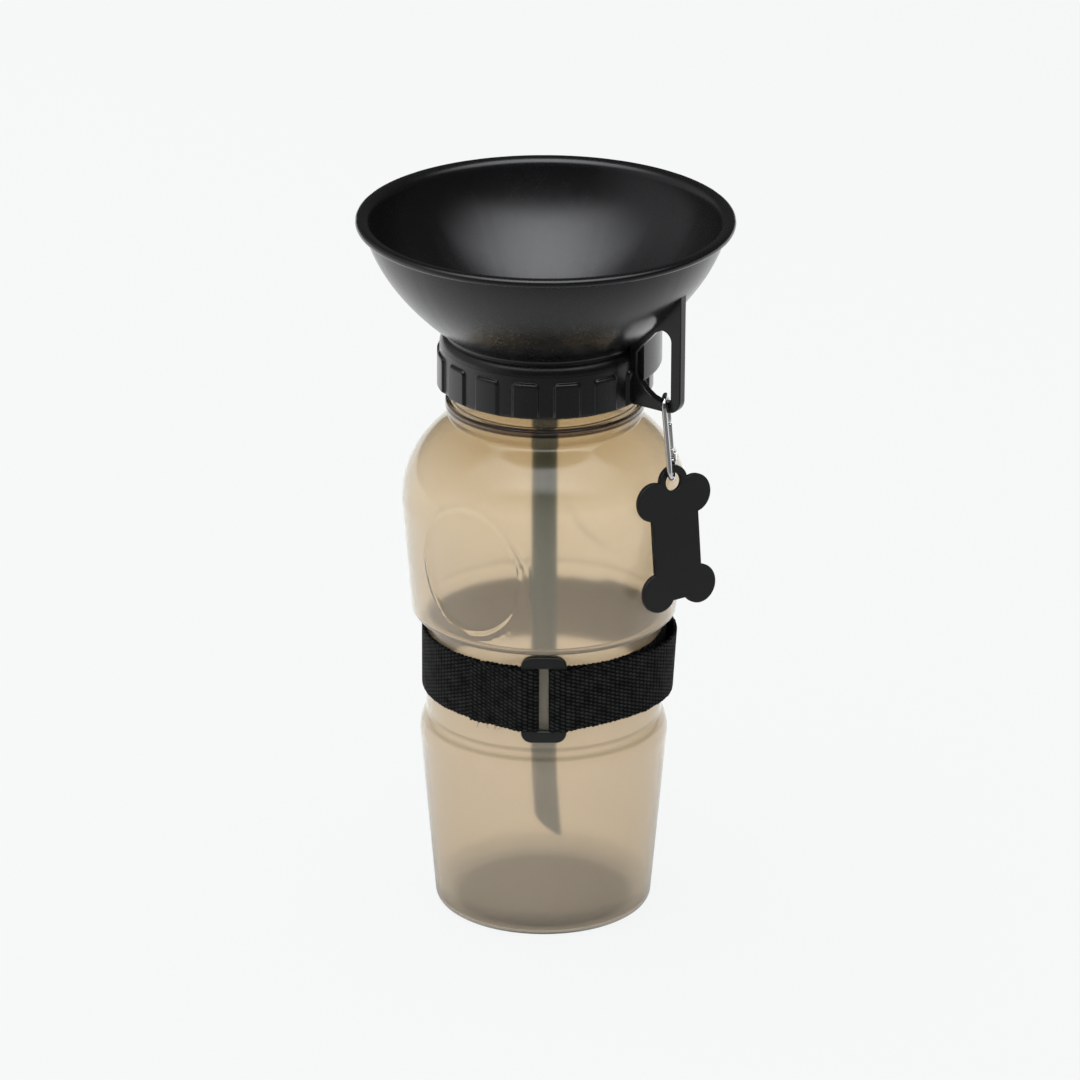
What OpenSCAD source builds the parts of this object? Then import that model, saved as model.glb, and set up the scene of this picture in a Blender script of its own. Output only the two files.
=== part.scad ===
// Squeeze bottle with a screw-on drinking bowl, a hand strap and a hanging tag.
// Squeezing the bottle pushes water up the dip tube into the bowl. Letting go
// draws what is left back down.
// Millimetres. Z is up, the origin is the bottom centre of the base, and +X
// points along the carry bracket.

/* [Bottle] */
// Outer radius just above the rounded foot
base_r = 34.3; // [33.5:0.1:35.5]
// Radius of the rounded foot
base_round = 3.2; // [2.4:0.1:4]
// How far the middle of the base is pushed up
base_push = 2.0; // [1:0.1:3]
// Outer radius at the top of the lower body
lower_r = 39.2; // [38.8:0.1:40.4]
// Height where the lower body starts to round in to the waist
lower_h = 58.6; // [55:0.2:60]
// Radius of that rounded shoulder
lower_round = 11.6; // [9:0.2:12]
// Outer radius of the waist that the strap lies in
waist_r = 37.2; // [36.2:0.1:38]
// Height of the underside of the bulb
bulb_foot_z = 99.2; // [98.8:0.2:102]
// Outer radius at the foot of the bulb
bulb_foot_r = 41.8; // [41:0.1:42.8]
// Greatest outer radius of the bulb
bulb_r = 44.8; // [44:0.1:46.4]
// Height of the widest part of the bulb
bulb_z = 136; // [133:0.5:139]
// Height where the bulb's shoulder ends at the neck
shoulder_z = 164; // [162:0.5:165]
// Wall thickness of the squeezable body
body_wall = 1.2; // [0.9:0.1:1.4]

/* [Thumb grips] */
// Width of each oval grip
grip_w = 35; // [28:0.5:37]
// Height of each oval grip
grip_h = 41; // [38:0.5:43]
// Height of the middle of the grips
grip_z = 125; // [123:0.5:127]
// How deep the grips are sunk
grip_depth = 0.7; // [0.4:0.1:1]

/* [Neck and thread] */
// Height of the rim of the neck
neck_top = 188.2; // [186:0.2:192]
// Outer radius of the neck under its thread
neck_r = 29.3; // [28.6:0.1:30]
// Wall thickness of the neck
neck_wall = 1.9; // [1.6:0.1:2.4]
// How far the bead under the collar stands out from the neck
bead_out = 1.9; // [1.6:0.1:2.4]
// Height of the bead
bead_h = 6.2; // [5.4:0.1:6.8]
// Rise of the thread in one turn
thread_pitch = 4; // [3.4:0.1:4.4]
// Turns of thread on the neck and in the collar
thread_turns = 1.25; // [1:0.05:1.5]
// Height of each thread ridge above its wall
thread_depth = 0.85; // [0.7:0.05:1]
// Radial play between the two thread crests
thread_play = 0.15; // [0.1:0.05:0.3]

/* [Seal] */
// Thickness of the seal ring
seal_t = 1.3; // [1:0.1:1.8]
// Width of the seal ring
seal_w = 2.4; // [2:0.1:3]
// Slack above and below the seal ring
seal_gap = 0.1; // [0.1:0.05:0.2]

/* [Collar] */
// Wall thickness of the collar outside its thread
collar_wall = 1.8; // [1.6:0.1:2.2]
// Height of the collar below the plate that closes it
collar_h = 15.3; // [14.5:0.1:16.5]
// Number of grip ribs round the collar
rib_count = 16; // [12:1:18]
// Width of a rib
rib_w = 8.9; // [7:0.1:9.4]
// Height of a rib
rib_h = 12.2; // [10:0.1:12.6]
// How far the ribs stand out
rib_depth = 0.9; // [0.6:0.05:1.1]
// Radius of a rib's top corners
rib_round = 1.8; // [1:0.1:2.5]

/* [Bowl] */
// Outer radius of the bowl's lip
rim_r = 59; // [58.4:0.2:62]
// Height of the lip above the closing plate's underside
bowl_h = 39.8; // [38:0.2:43]
// Wall thickness of the bowl
bowl_wall = 2.0; // [1.6:0.1:2.2]
// Radius of the rolled edge of the lip
lip_round = 1.4; // [1.2:0.1:1.6]
// Thickness of the plate that closes the collar and floors the bowl
plate_t = 2.6; // [2.2:0.1:3]
// Radius of the hole that lets water into the bowl
outlet_r = 2.6; // [2:0.1:2.8]

/* [Carry bracket] */
// Thickness of the bracket plate
bracket_t = 3.0; // [2.4:0.1:3.2]
// How far the bracket reaches out past the bulb
bracket_over = 5.8; // [5.4:0.1:7.4]
// Width of the bracket's outer upright
bracket_post = 3.6; // [2.6:0.1:3.8]
// Height of the bracket's bottom bar
bracket_bar = 3.4; // [2.8:0.1:3.5]
// Radius of the bracket's outer bottom corner
bracket_round = 4.6; // [3:0.1:5]
// Height of the slot from the bar to the crown of its arch
slot_h = 23.2; // [20:0.2:24]
// Radius of the slot's arch
slot_round = 3.4; // [2.5:0.1:4]
// How far the curved pad behind the bracket stands out from the collar
pad_depth = 3.5; // [2.5:0.1:3.8]
// Angle that the pad covers
pad_angle = 38; // [30:1:44]
// Height of the pad's lower edge above the collar's lower edge
pad_z = 8.1; // [7:0.1:9]

/* [Dip tube] */
// Outer radius of the tube
tube_r = 4.0; // [3.6:0.1:4.4]
// Wall thickness of the tube
tube_wall = 1.0; // [0.8:0.1:1.2]
// Height of the tube's lower end above the base
tube_end_z = 24.5; // [18:0.5:28]
// Direction that the slanted lower end faces, from +X
tube_lean = 33; // [20:1:45]
// Depth of the socket that holds the tube
socket_depth = 13; // [10:0.5:14]
// Wall thickness of the socket
socket_wall = 2.1; // [1.6:0.1:2.6]
// Radial play of the tube in its socket
socket_play = 0.05; // [0.03:0.01:0.08]

/* [Strap] */
// Width of the webbing
web_w = 20.5; // [18:0.5:22]
// Thickness of the webbing
web_t = 1.1; // [0.9:0.05:1.3]
// Height of the middle of the webbing
strap_z = 84; // [83.4:0.1:84.2]
// Play between the webbing and the waist
strap_play = 0.3; // [0.25:0.05:0.5]
// Play between two layers of webbing
layer_play = 0.2; // [0.15:0.05:0.3]
// Direction of the buckle from +X
buckle_turn = -57; // [-75:1:-45]
// Angle from the buckle to the end of the sewn flap
flap_angle = 36; // [34:1:44]
// Angle from the buckle to the end of the folded tail
tail_angle = 152; // [146:1:170]
// Angle from the buckle to the start of the fastening patches
patch_angle = 112; // [104:1:120]
// Thickness of each fastening patch
patch_t = 0.6; // [0.5:0.05:0.8]

/* [Buckle] */
// Width of the buckle across the webbing's run
buckle_w = 14.3; // [13.6:0.1:16]
// Thickness of the buckle
buckle_t = 2.2; // [1.8:0.1:2.6]
// Height of the buckle's top and bottom bars
buckle_bar = 4.0; // [3.2:0.1:4.2]
// Width of the buckle's window
window_w = 6.0; // [5.6:0.1:7]
// Radius of the buckle's outer corners
buckle_round = 3.4; // [2.4:0.1:4]
// Play between the webbing and the buckle
buckle_play = 0.15; // [0.1:0.05:0.25]

/* [Snap hook] */
// Radius of the hook's wire
wire_r = 0.8; // [0.7:0.05:0.85]
// Radius of the hook's two bends, to the middle of the wire
bend_r = 3.4; // [3.2:0.05:3.8]
// Straight length between the bends
hook_len = 20.1; // [18:0.1:24]
// Direction of the hook's flat side from +X
hook_turn = -67; // [-80:1:-60]
// Lean of the hook away from the bottle
hook_lean = 6.2; // [5.6:0.1:7]
// Distance from the hook to the bracket's outer edge, along the bar
hook_inset = 6.0; // [5.4:0.1:7]
// Distance from the bracket's bar down to the gate's free end
gate_top = 6.6; // [6:0.1:8]
// Length of the gate from its free end to its pin
gate_len = 10.6; // [9:0.1:11]
// Radius of the gate's pin
pin_r = 0.35; // [0.3:0.01:0.4]
// Radial play of the pin
pin_play = 0.04; // [0.02:0.01:0.06]
// Slack between the gate's tongue and its fork, on each side
fork_play = 0.1; // [0.08:0.01:0.15]

/* [Bone tag] */
// Thickness of the tag
tag_t = 1.6; // [1.3:0.1:1.7]
// Distance between the lobes, across the tag
lobe_span = 15.2; // [14:0.1:16]
// Distance between the lobes, along the tag
lobe_drop = 29.4; // [26:0.1:32]
// Radius of a lobe
lobe_r = 6.2; // [5.6:0.1:6.4]
// Width of the shaft
shaft_w = 17.5; // [15:0.1:18]
// Outer radius of the eyelet
eye_r = 5.3; // [5:0.1:5.6]
// Radius of the eyelet's hole
eye_hole_r = 2.9; // [2.85:0.05:3.1]
// Distance from the eyelet to the upper lobes
eye_drop = 5.2; // [4.8:0.1:6]
// Distance from the hook's wire down to the middle of the eyelet
eye_hang = 1.15; // [1.05:0.05:1.2]
// Direction that the tag faces, from +X
tag_turn = -22; // [-26:1:-18]

/* [Hidden] */
$fn = 96;

smoke = [0.76, 0.67, 0.55, 0.6];
black = [0.16, 0.16, 0.16];
cloth = [0.12, 0.12, 0.12];
chrome = [0.8, 0.8, 0.82];

// Heights that follow from the neck, the seal and the collar.
seal_z = neck_top + seal_gap;
plate_z = seal_z + seal_t + seal_gap;
floor_z = plate_z + plate_t;
rim_z = plate_z + bowl_h;
collar_z = plate_z - collar_h;

// Radii of the bead and the collar, from the neck outwards.
bead_r = neck_r + bead_out;
neck_crest_r = neck_r + thread_depth;
collar_crest_r = neck_crest_r + thread_play;
collar_inner_r = collar_crest_r + thread_depth;
collar_r = collar_inner_r + collar_wall;
collar_shoulder = 4.5;

// Rounds of the bottle's body.
waist_fillet = 1.5;
bulb_foot_round = 1.6;
neck_fillet = 0.9;
foot_ring = 4.2;

// Bracket, bar and hook.
bracket_r = bulb_r + bracket_over;
slot_out = bracket_r - bracket_post;
slot_in = collar_r + rib_depth + 0.9;
bar_z = collar_z + bracket_bar / 2;
hook_x = bracket_r - hook_inset;

// Radii of the strap's layers, to the middle of the webbing.
inner_web_r = waist_r + strap_play + web_t / 2;
outer_web_r = inner_web_r + web_t + layer_play;
patch_play = 0.1;
patch_lift = 2 * patch_t + 3 * patch_play - layer_play;
fold_r = buckle_t / 2 + buckle_play + web_t / 2;
buckle_x = inner_web_r + fold_r;
fold_y = window_w / 2 + buckle_play - web_t / 2 + fold_r - buckle_t / 2;

// The thread is cut into this many ridges a turn, with this gap in degrees.
thread_parts = 5;
thread_vent = 8;
embed = 0.4;

// ---------- outlines ----------

// Points on a circle about c, from angle a0 to a1.
function arc(c, r, a0, a1, n) = [
    for (i = [0 : n]) let (a = a0 + (a1 - a0) * i / n) c + r * [cos(a), sin(a)]
];

function bez_point(p, t) =
    let (s = 1 - t) s^3 * p[0] + 3 * s^2 * t * p[1] + 3 * s * t^2 * p[2] + t^3 * p[3];

function bez_slope(p, t) =
    let (s = 1 - t) 3 * s^2 * (p[1] - p[0]) + 6 * s * t * (p[2] - p[1]) + 3 * t^2 * (p[3] - p[2]);

// Points on a cubic curve, moved sideways by o to its left.
function bez(p, n, o = 0) = [
    for (i = [0 : n])
        let (t = i / n, v = bez_slope(p, t), u = v / norm(v)) bez_point(p, t) + o * [-u[1], u[0]]
];

function reverse(p) = [for (i = [len(p) - 1 : -1 : 0]) p[i]];

// The bulb's side and shoulder, o inside the outer surface.
shoulder_curve = [
    [bulb_r, bulb_z],
    [bulb_r, bulb_z + 0.69 * (shoulder_z - bulb_z)],
    [neck_r + 0.6, shoulder_z - 2],
    [neck_r + 0.6, shoulder_z]
];
function bulb_side(o) = concat(
    [[bulb_foot_r - o, bulb_foot_z + bulb_foot_round]],
    bez(shoulder_curve, 12, o)
);

// The body from the base to the shoulder, o inside the outer surface.
function body_side(o) =
    let (
        c = lower_r - lower_round,
        turn = acos((waist_r - o - c) / (lower_round - o))
    )
    concat(
        arc([base_r - base_round, base_round], base_round - o, -90, -5, 6),
        arc([c, lower_h], lower_round - o, 0, turn, 8),
        arc([waist_r + waist_fillet, bulb_foot_z - waist_fillet], waist_fillet + o, 180, 90, 6),
        arc([bulb_foot_r - bulb_foot_round, bulb_foot_z + bulb_foot_round], bulb_foot_round - o, -90, -5, 6),
        bulb_side(o)
    );

// The pushed-up middle of the base, o above its outer surface.
function base_line(o) = [
    [0, base_push + o],
    [base_r - base_round - foot_ring - 3, base_push + o],
    [base_r - base_round - foot_ring, o]
];

function bottle_outside() = concat(
    base_line(0),
    body_side(0),
    [
        [bead_r - 0.2, shoulder_z + 0.4 * bead_h],
        [bead_r, shoulder_z + 0.56 * bead_h],
        [bead_r, shoulder_z + bead_h - 0.6],
        [bead_r - 0.5, shoulder_z + bead_h],
        [neck_r, shoulder_z + bead_h + neck_fillet],
        [neck_r, neck_top - 0.4],
        [neck_r - 0.4, neck_top],
        [0, neck_top]
    ]
);

function bottle_inside() = concat(
    base_line(body_wall),
    body_side(body_wall),
    [
        [neck_r - neck_wall, shoulder_z + bead_h],
        [neck_r - neck_wall, neck_top + 1],
        [0, neck_top + 1]
    ]
);

// The bowl's underside, from its root on the collar to the lip.
bowl_root = [collar_r - 1.7, plate_z + 3.3];
bowl_curve = [
    bowl_root,
    bowl_root + [3.9, 2.2],
    [rim_r - 6.4, rim_z - 20],
    [rim_r - 2.4, rim_z - 2.1]
];

function bowl_outline() = concat(
    [[0, plate_z], [collar_inner_r, plate_z]],
    [[collar_inner_r, collar_z + 0.6], [collar_inner_r + 0.4, collar_z]],
    [[collar_r - 0.5, collar_z], [collar_r, collar_z + 0.5]],
    arc([collar_r - collar_shoulder, bowl_root[1] - collar_shoulder - 0.3], collar_shoulder, 0, 52, 7),
    bez(bowl_curve, 14),
    arc([rim_r - lip_round, rim_z - lip_round], lip_round, -75, 90, 9),
    [[rim_r - 2.6, rim_z - 0.1], [rim_r - 3.7, rim_z - 0.7]],
    reverse(bez(bowl_curve, 14, bowl_wall)),
    [[bowl_root[0] - 2.6, floor_z + 0.7], [bowl_root[0] - 5, floor_z + 0.2], [0, floor_z - 0.4]]
);

// ---------- shared shapes ----------

// A thread of sloping ridges, each a stretch of one turn with a gap for air
// before the next. root and crest are radii, so a crest smaller than its root
// makes an inside thread.
module thread_ridge(root, crest, z0) {
    step = 360 / thread_parts;
    lead = atan(thread_pitch / (2 * PI * neck_r));
    half_root = thread_pitch * 0.3;
    half_crest = thread_pitch * 0.13;
    for (i = [0 : round(thread_parts * thread_turns) - 1])
        translate([0, 0, z0 + thread_pitch * (i + 0.5) / thread_parts])
            rotate([0, 0, step * (i + 0.5)])
                rotate([lead, 0, 0])
                    rotate([0, 0, -step / 2 + thread_vent / 2])
                        rotate_extrude(angle = step - thread_vent)
                            polygon([
                                [root, -half_root],
                                [crest, -half_crest],
                                [crest, half_crest],
                                [root, half_root]
                            ]);
}

// A flat plate shape with round corners.
module round_rect(w, h, r) {
    square([w - 2 * r, h], center = true);
    square([w, h - 2 * r], center = true);
    for (x = [-1, 1], y = [-1, 1])
        translate([x * (w / 2 - r), y * (h / 2 - r)])
            circle(r);
}

// The hollow of both oval grips, or of what lies inside them. grow widens the
// ovals and o moves their floor further in. The floor is one straight cone.
module grips(grow, o) {
    low = grip_z - grip_h / 2 - grow;
    high = grip_z + grip_h / 2 + grow;
    rise = (bulb_r - bulb_foot_r) / (bulb_z - bulb_foot_z);
    low_r = bulb_foot_r + (low - bulb_foot_z) * rise - grip_depth - o;
    high_r = low_r + (high - low) * rise * 0.8;
    intersection() {
        for (side = [0, 180])
            rotate([90, 0, side])
                linear_extrude(bulb_r + 10)
                    polygon([
                        for (a = [0 : 11.25 : 359])
                            [(grip_w / 2 + grow) * cos(a), grip_z + (grip_h / 2 + grow) * sin(a)]
                    ]);
        rotate_extrude()
            polygon([[low_r, low], [bulb_r + 6, low], [bulb_r + 6, high], [high_r, high]]);
    }
}

// ---------- bottle ----------

module bottle() {
    color(smoke)
        difference() {
            union() {
                difference() {
                    rotate_extrude()
                        polygon(bottle_outside());
                    grips(0, 0);
                }
                thread_ridge(neck_r - embed, neck_crest_r, neck_top - 2.4 - thread_pitch * thread_turns);
            }
            difference() {
                rotate_extrude()
                    polygon(bottle_inside());
                grips(body_wall, body_wall);
            }
        }
}

// ---------- bowl, collar and bracket: one moulding ----------

module collar_ribs() {
    for (i = [0 : rib_count - 1])
        rotate([0, 0, 360 * i / rib_count])
            intersection() {
                rotate([90, 0, 90])
                    linear_extrude(collar_r + 5)
                        translate([0, collar_z]) {
                            translate([-rib_w / 2, 0.5])
                                square([rib_w, rib_h - rib_round - 0.5]);
                            translate([-rib_w / 2 + rib_round, 0.5])
                                square([rib_w - 2 * rib_round, rib_h - 0.5]);
                            for (s = [-1, 1])
                                translate([s * (rib_w / 2 - rib_round), rib_h - rib_round])
                                    circle(rib_round);
                        }
                rotate_extrude()
                    translate([collar_r - 0.6, collar_z])
                        square([rib_depth + 0.6, collar_h]);
            }
}

// What lies under the middle of the bowl's wall, down to the collar's foot.
module under_bowl() {
    polygon(concat(
        [[collar_r - 1, collar_z]],
        [[collar_r - 1, bowl_root[1]]],
        bez(bowl_curve, 14, bowl_wall / 2),
        [[rim_r - 3, collar_z]]
    ));
}

module bracket_shape() {
    difference() {
        intersection() {
            under_bowl();
            union() {
                translate([collar_r - 2, collar_z])
                    square([bracket_r - bracket_round - collar_r + 2, rim_z - collar_z]);
                translate([bracket_r - 2 * bracket_round, collar_z + bracket_round])
                    square([2 * bracket_round, rim_z - collar_z]);
                translate([bracket_r - bracket_round, collar_z + bracket_round])
                    circle(bracket_round);
            }
        }
        bracket_slot();
    }
}

// The slot: a foot that slopes up to the collar, and an arch under the bowl.
module bracket_slot() {
    low = collar_z + bracket_bar;
    high = low + slot_h;
    polygon(concat(
        [[slot_in, low + 7.5], [slot_in + 1.4, low + 4.6], [slot_in + 5.6, low + 0.8]],
        [[slot_in + 8.2, low]],
        arc([slot_out - 1.4, low + 1.4], 1.4, -90, 0, 5),
        arc([slot_out - slot_round, high - slot_round], slot_round, 0, 90, 8),
        [[slot_out - slot_round - 2.4, high - 1.2], [slot_in + 2.2, high - 6], [slot_in, high - 9]]
    ));
}

module back_pad() {
    rotate_extrude(angle = pad_angle)
        intersection() {
            under_bowl();
            translate([collar_r - 1, collar_z + pad_z])
                square([pad_depth + 1, 40]);
        }
}

module bowl_cap() {
    color(black)
        difference() {
            union() {
                rotate_extrude()
                    polygon(bowl_outline());
                collar_ribs();
                rotate([90, 0, 0])
                    linear_extrude(bracket_t, center = true)
                        bracket_shape();
                back_pad();
                thread_ridge(collar_inner_r + embed, collar_crest_r, collar_z + 2.2);
                translate([0, 0, plate_z - socket_depth])
                    cylinder(r = tube_r + socket_play + socket_wall, h = socket_depth + 0.5);
            }
            translate([0, 0, plate_z - socket_depth - 1])
                cylinder(r = tube_r + socket_play, h = socket_depth + 1);
            translate([0, 0, plate_z - 1])
                cylinder(r = outlet_r, h = plate_t + 2);
        }
}

// ---------- seal and dip tube ----------

module neck_seal() {
    color([0.75, 0.76, 0.76])
        translate([0, 0, seal_z])
            difference() {
                cylinder(r = neck_r - 0.1, h = seal_t);
                translate([0, 0, -1])
                    cylinder(r = neck_r - 0.1 - seal_w, h = seal_t + 2);
            }
}

// The tube hangs straight from its socket. Its lower end is cut off at a slant.
module dip_tube() {
    slant = 42;
    color([0.43, 0.46, 0.42])
        rotate([0, 0, tube_lean])
            difference() {
                cylinder(r = tube_r, h = plate_z - 0.2);
                translate([0, 0, -1])
                    cylinder(r = tube_r - tube_wall, h = plate_z + 2);
                translate([0, 0, tube_end_z])
                    rotate([0, slant, 0])
                        translate([-60, -60, -200])
                            cube([120, 120, 200]);
            }
}

// ---------- strap ----------

// The strap is drawn with the buckle towards +X and turned into place.
// A layer leaves the buckle's corner in a straight line that meets its circle.
fold_x = buckle_x + fold_r;
corner_y = buckle_w / 2 + buckle_play;
corner = [fold_x, corner_y];
touch_angle = atan2(corner_y, fold_x) + acos(outer_web_r / norm(corner));
touch = outer_web_r * [cos(touch_angle), sin(touch_angle)];
web_step = 5;

// Middle line of the folded-over layer, from angle a back to the buckle.
// The layer lifts over the patches once it is past angle lift_at.
function over_layer(a, lift_at) = concat(
    [
        for (b = [a : -web_step : touch_angle + web_step / 2])
            let (k = max(0, min(1, (b - lift_at + 14) / 12)), r = outer_web_r + k * patch_lift)
                r * [cos(b), sin(b)]
    ],
    [touch, corner],
    [[fold_x, fold_y]]
);

// Middle line round one side of the window, from the outside in.
function fold_line() = [
    for (b = [60 : -30 : -90]) [buckle_x + fold_r * sin(b), fold_y - fold_r * cos(b)]
];

function mirror_y(p) = [for (q = p) [q[0], -q[1]]];

web_line = concat(
    mirror_y(over_layer(flap_angle, 360)),
    mirror_y(fold_line()),
    [for (b = [-15 : -web_step : -345]) inner_web_r * [cos(b), sin(b)]],
    reverse(fold_line()),
    reverse(over_layer(tail_angle, patch_angle))
);

// The same line moved sideways by s.
function beside(line, s) = [
    for (i = [0 : len(line) - 1])
        let (
            v = line[min(i + 1, len(line) - 1)] - line[max(i - 1, 0)],
            u = v / norm(v)
        )
            line[i] + s * [-u[1], u[0]]
];

module place_strap() {
    rotate([0, 0, buckle_turn])
        children();
}

module strap_webbing() {
    color(cloth)
        place_strap()
            translate([0, 0, strap_z - web_w / 2])
                linear_extrude(web_w)
                    polygon(concat(beside(web_line, web_t / 2), reverse(beside(web_line, -web_t / 2))));
}

module strap_buckle() {
    window_h = web_w + 0.7;
    color(black)
        place_strap()
            translate([buckle_x - buckle_t / 2, 0, strap_z])
                rotate([90, 0, 90])
                    linear_extrude(buckle_t)
                        difference() {
                            round_rect(buckle_w, window_h + 2 * buckle_bar, buckle_round);
                            round_rect(window_w, window_h, 0.8);
                        }
}

// Two rows of stitches through the flap, along its straight stretch.
module strap_stitching() {
    stitch = [0.25, 0.5, 1.6];
    rows = [0.45, 0.75];
    count = 7;
    flat = touch - corner;
    aim = atan2(flat[1], flat[0]) - 90;
    color([0.2, 0.2, 0.2])
        place_strap()
            mirror([0, 1, 0])
                for (k = rows, i = [0 : count - 1])
                    translate(concat(corner + k * flat, [strap_z + (i - (count - 1) / 2) * 2.6]))
                        rotate([0, 0, aim])
                            translate([web_t / 2 + 0.01, -stitch[1] / 2, -stitch[2] / 2])
                                cube(stitch);
}

// A patch of fastening tape, bent to radius r at its inner face.
module patch(r, a0, a1) {
    place_strap()
        translate([0, 0, strap_z - web_w / 2 + 1])
            rotate([0, 0, a0])
                rotate_extrude(angle = a1 - a0)
                    translate([r, 0])
                        square([patch_t, web_w - 2]);
}

module loop_patch() {
    color([0.15, 0.15, 0.15])
        patch(inner_web_r + web_t / 2 + patch_play, patch_angle - 4, tail_angle + 8);
}

module hook_patch() {
    color([0.22, 0.22, 0.22])
        patch(inner_web_r + web_t / 2 + 2 * patch_play + patch_t, patch_angle, tail_angle - 2);
}

// ---------- snap hook ----------

// The hook is drawn hanging from the middle of the bracket's bar, flat in XZ,
// with its gate on the -X side, and then leaned and turned into place.
gate_z = -gate_top - gate_len;
fork = [2 * wire_r + 0.7, 2 * wire_r + 0.8, 2.6];
tongue_t = 0.8;
spring_bore_r = 0.45;
spring_len = 3;
rod_z = fork[2] / 2 + 0.5;
spring_z = rod_z + 0.4;

module place_hook() {
    translate([hook_x, 0, bar_z])
        rotate([0, -hook_lean, 0])
            rotate([0, 0, hook_turn])
                children();
}

module wire_bend(flip) {
    rotate([90, 0, 0])
        rotate([0, 0, flip])
            rotate_extrude(angle = 180)
                translate([bend_r, 0])
                    circle(wire_r, $fn = 32);
}

module snap_hook() {
    color(chrome)
        place_hook()
            difference() {
                union() {
                    wire_bend(0);
                    translate([0, 0, -hook_len])
                        wire_bend(180);
                    translate([bend_r, 0, -hook_len])
                        cylinder(r = wire_r, h = hook_len, $fn = 32);
                    translate([-bend_r, 0, -gate_top + 0.25])
                        cylinder(r = wire_r, h = gate_top - 0.25, $fn = 32);
                    translate([-bend_r, 0, -hook_len])
                        cylinder(r = wire_r, h = hook_len + gate_z, $fn = 32);
                    translate([-bend_r - fork[0] / 2, -fork[1] / 2, gate_z - fork[2] / 2])
                        cube(fork);
                }
                translate([-bend_r - 3, -tongue_t / 2 - fork_play, gate_z - 1.1])
                    cube([6, tongue_t + 2 * fork_play, 4]);
                translate([-bend_r, 0, gate_z])
                    rotate([90, 0, 0])
                        cylinder(r = pin_r + pin_play, h = 6, center = true, $fn = 32);
            }
}

module snap_gate() {
    color(chrome)
        place_hook()
            difference() {
                union() {
                    translate([-bend_r, 0, gate_z + rod_z])
                        cylinder(r = wire_r, h = gate_len - rod_z, $fn = 32);
                    translate([-bend_r - 0.7, -tongue_t / 2, gate_z])
                        cube([1.4, tongue_t, spring_z]);
                    translate([-bend_r, 0, gate_z])
                        rotate([90, 0, 0])
                            cylinder(r = 0.7 + pin_play, h = tongue_t, center = true, $fn = 32);
                }
                translate([-bend_r, 0, gate_z + spring_z])
                    cylinder(r = spring_bore_r, h = spring_len + 0.1, $fn = 32);
                translate([-bend_r, 0, gate_z])
                    rotate([90, 0, 0])
                        cylinder(r = pin_r + pin_play, h = 6, center = true, $fn = 32);
            }
}

module gate_pin() {
    color([0.7, 0.7, 0.72])
        place_hook()
            translate([-bend_r, 0, gate_z])
                rotate([90, 0, 0])
                    cylinder(r = pin_r, h = fork[1] - 0.05, center = true, $fn = 32);
}

// A small coil spring in the gate's bore.
module gate_spring() {
    turns = 6;
    steps = 14;
    sides = 6;
    coil_wire = 0.09;
    coil_r = spring_bore_r - 0.04 - coil_wire;
    rise = (spring_len - 0.1 - 2 * coil_wire) / (turns * steps);
    rings = turns * steps;
    points = [
        for (i = [0 : rings], k = [0 : sides - 1])
            let (a = 360 * i / steps, b = 360 * k / sides, r = coil_r + coil_wire * cos(b))
                [r * cos(a), r * sin(a), i * rise + coil_wire * (1 + sin(b))]
    ];
    around = [
        for (i = [0 : rings - 1], k = [0 : sides - 1])
            let (a = sides * i + k, b = sides * i + (k + 1) % sides)
                [a, a + sides, b + sides, b]
    ];
    caps = [
        [for (k = [0 : sides - 1]) k],
        [for (k = [sides - 1 : -1 : 0]) sides * rings + k]
    ];
    color([0.6, 0.6, 0.62])
        place_hook()
            translate([-bend_r, 0, gate_z + spring_z + 0.05])
                polyhedron(points, concat(around, caps), convexity = 8);
}

// ---------- bone tag ----------

// The tag hangs from the wire at the bottom of the hook.
wire_drop = hook_len + bend_r;
wire_x = hook_x + wire_drop * sin(hook_lean);
wire_z = bar_z - wire_drop * cos(hook_lean);

module bone_shape() {
    waist = 3.4;
    difference() {
        union() {
            circle(eye_r);
            translate([-shaft_w / 2, -eye_drop - lobe_drop])
                square([shaft_w, lobe_drop]);
            translate([-lobe_span / 2, -eye_drop - lobe_drop - waist])
                square([lobe_span, lobe_drop + 2 * waist]);
            for (x = [-1, 1], y = [0, 1])
                translate([x * lobe_span / 2, -eye_drop - y * lobe_drop])
                    circle(lobe_r);
        }
        circle(eye_hole_r);
    }
}

module bone_tag() {
    color(black)
        translate([wire_x, 0, wire_z])
            rotate([0, 0, tag_turn])
                rotate([0, -hook_lean, 0])
                    translate([0, 0, -eye_hang])
                        rotate([90, 0, 90])
                            linear_extrude(tag_t, center = true)
                                bone_shape();
}

bottle();
bowl_cap();
neck_seal();
dip_tube();
strap_webbing();
strap_buckle();
strap_stitching();
hook_patch();
loop_patch();
snap_hook();
snap_gate();
gate_pin();
gate_spring();
bone_tag();
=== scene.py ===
"""Dog travel water bottle: its looks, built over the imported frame.

All sizes in the classes are in millimetres and become metres in Mesher.piece.
"""

import logging
from dataclasses import dataclass, field
from enum import Enum
from math import acos, atan2, cos, degrees, hypot, pi, radians, sin, sqrt

import bpy
import numpy as np
from mathutils import Matrix
from mathutils.geometry import tessellate_polygon


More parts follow.
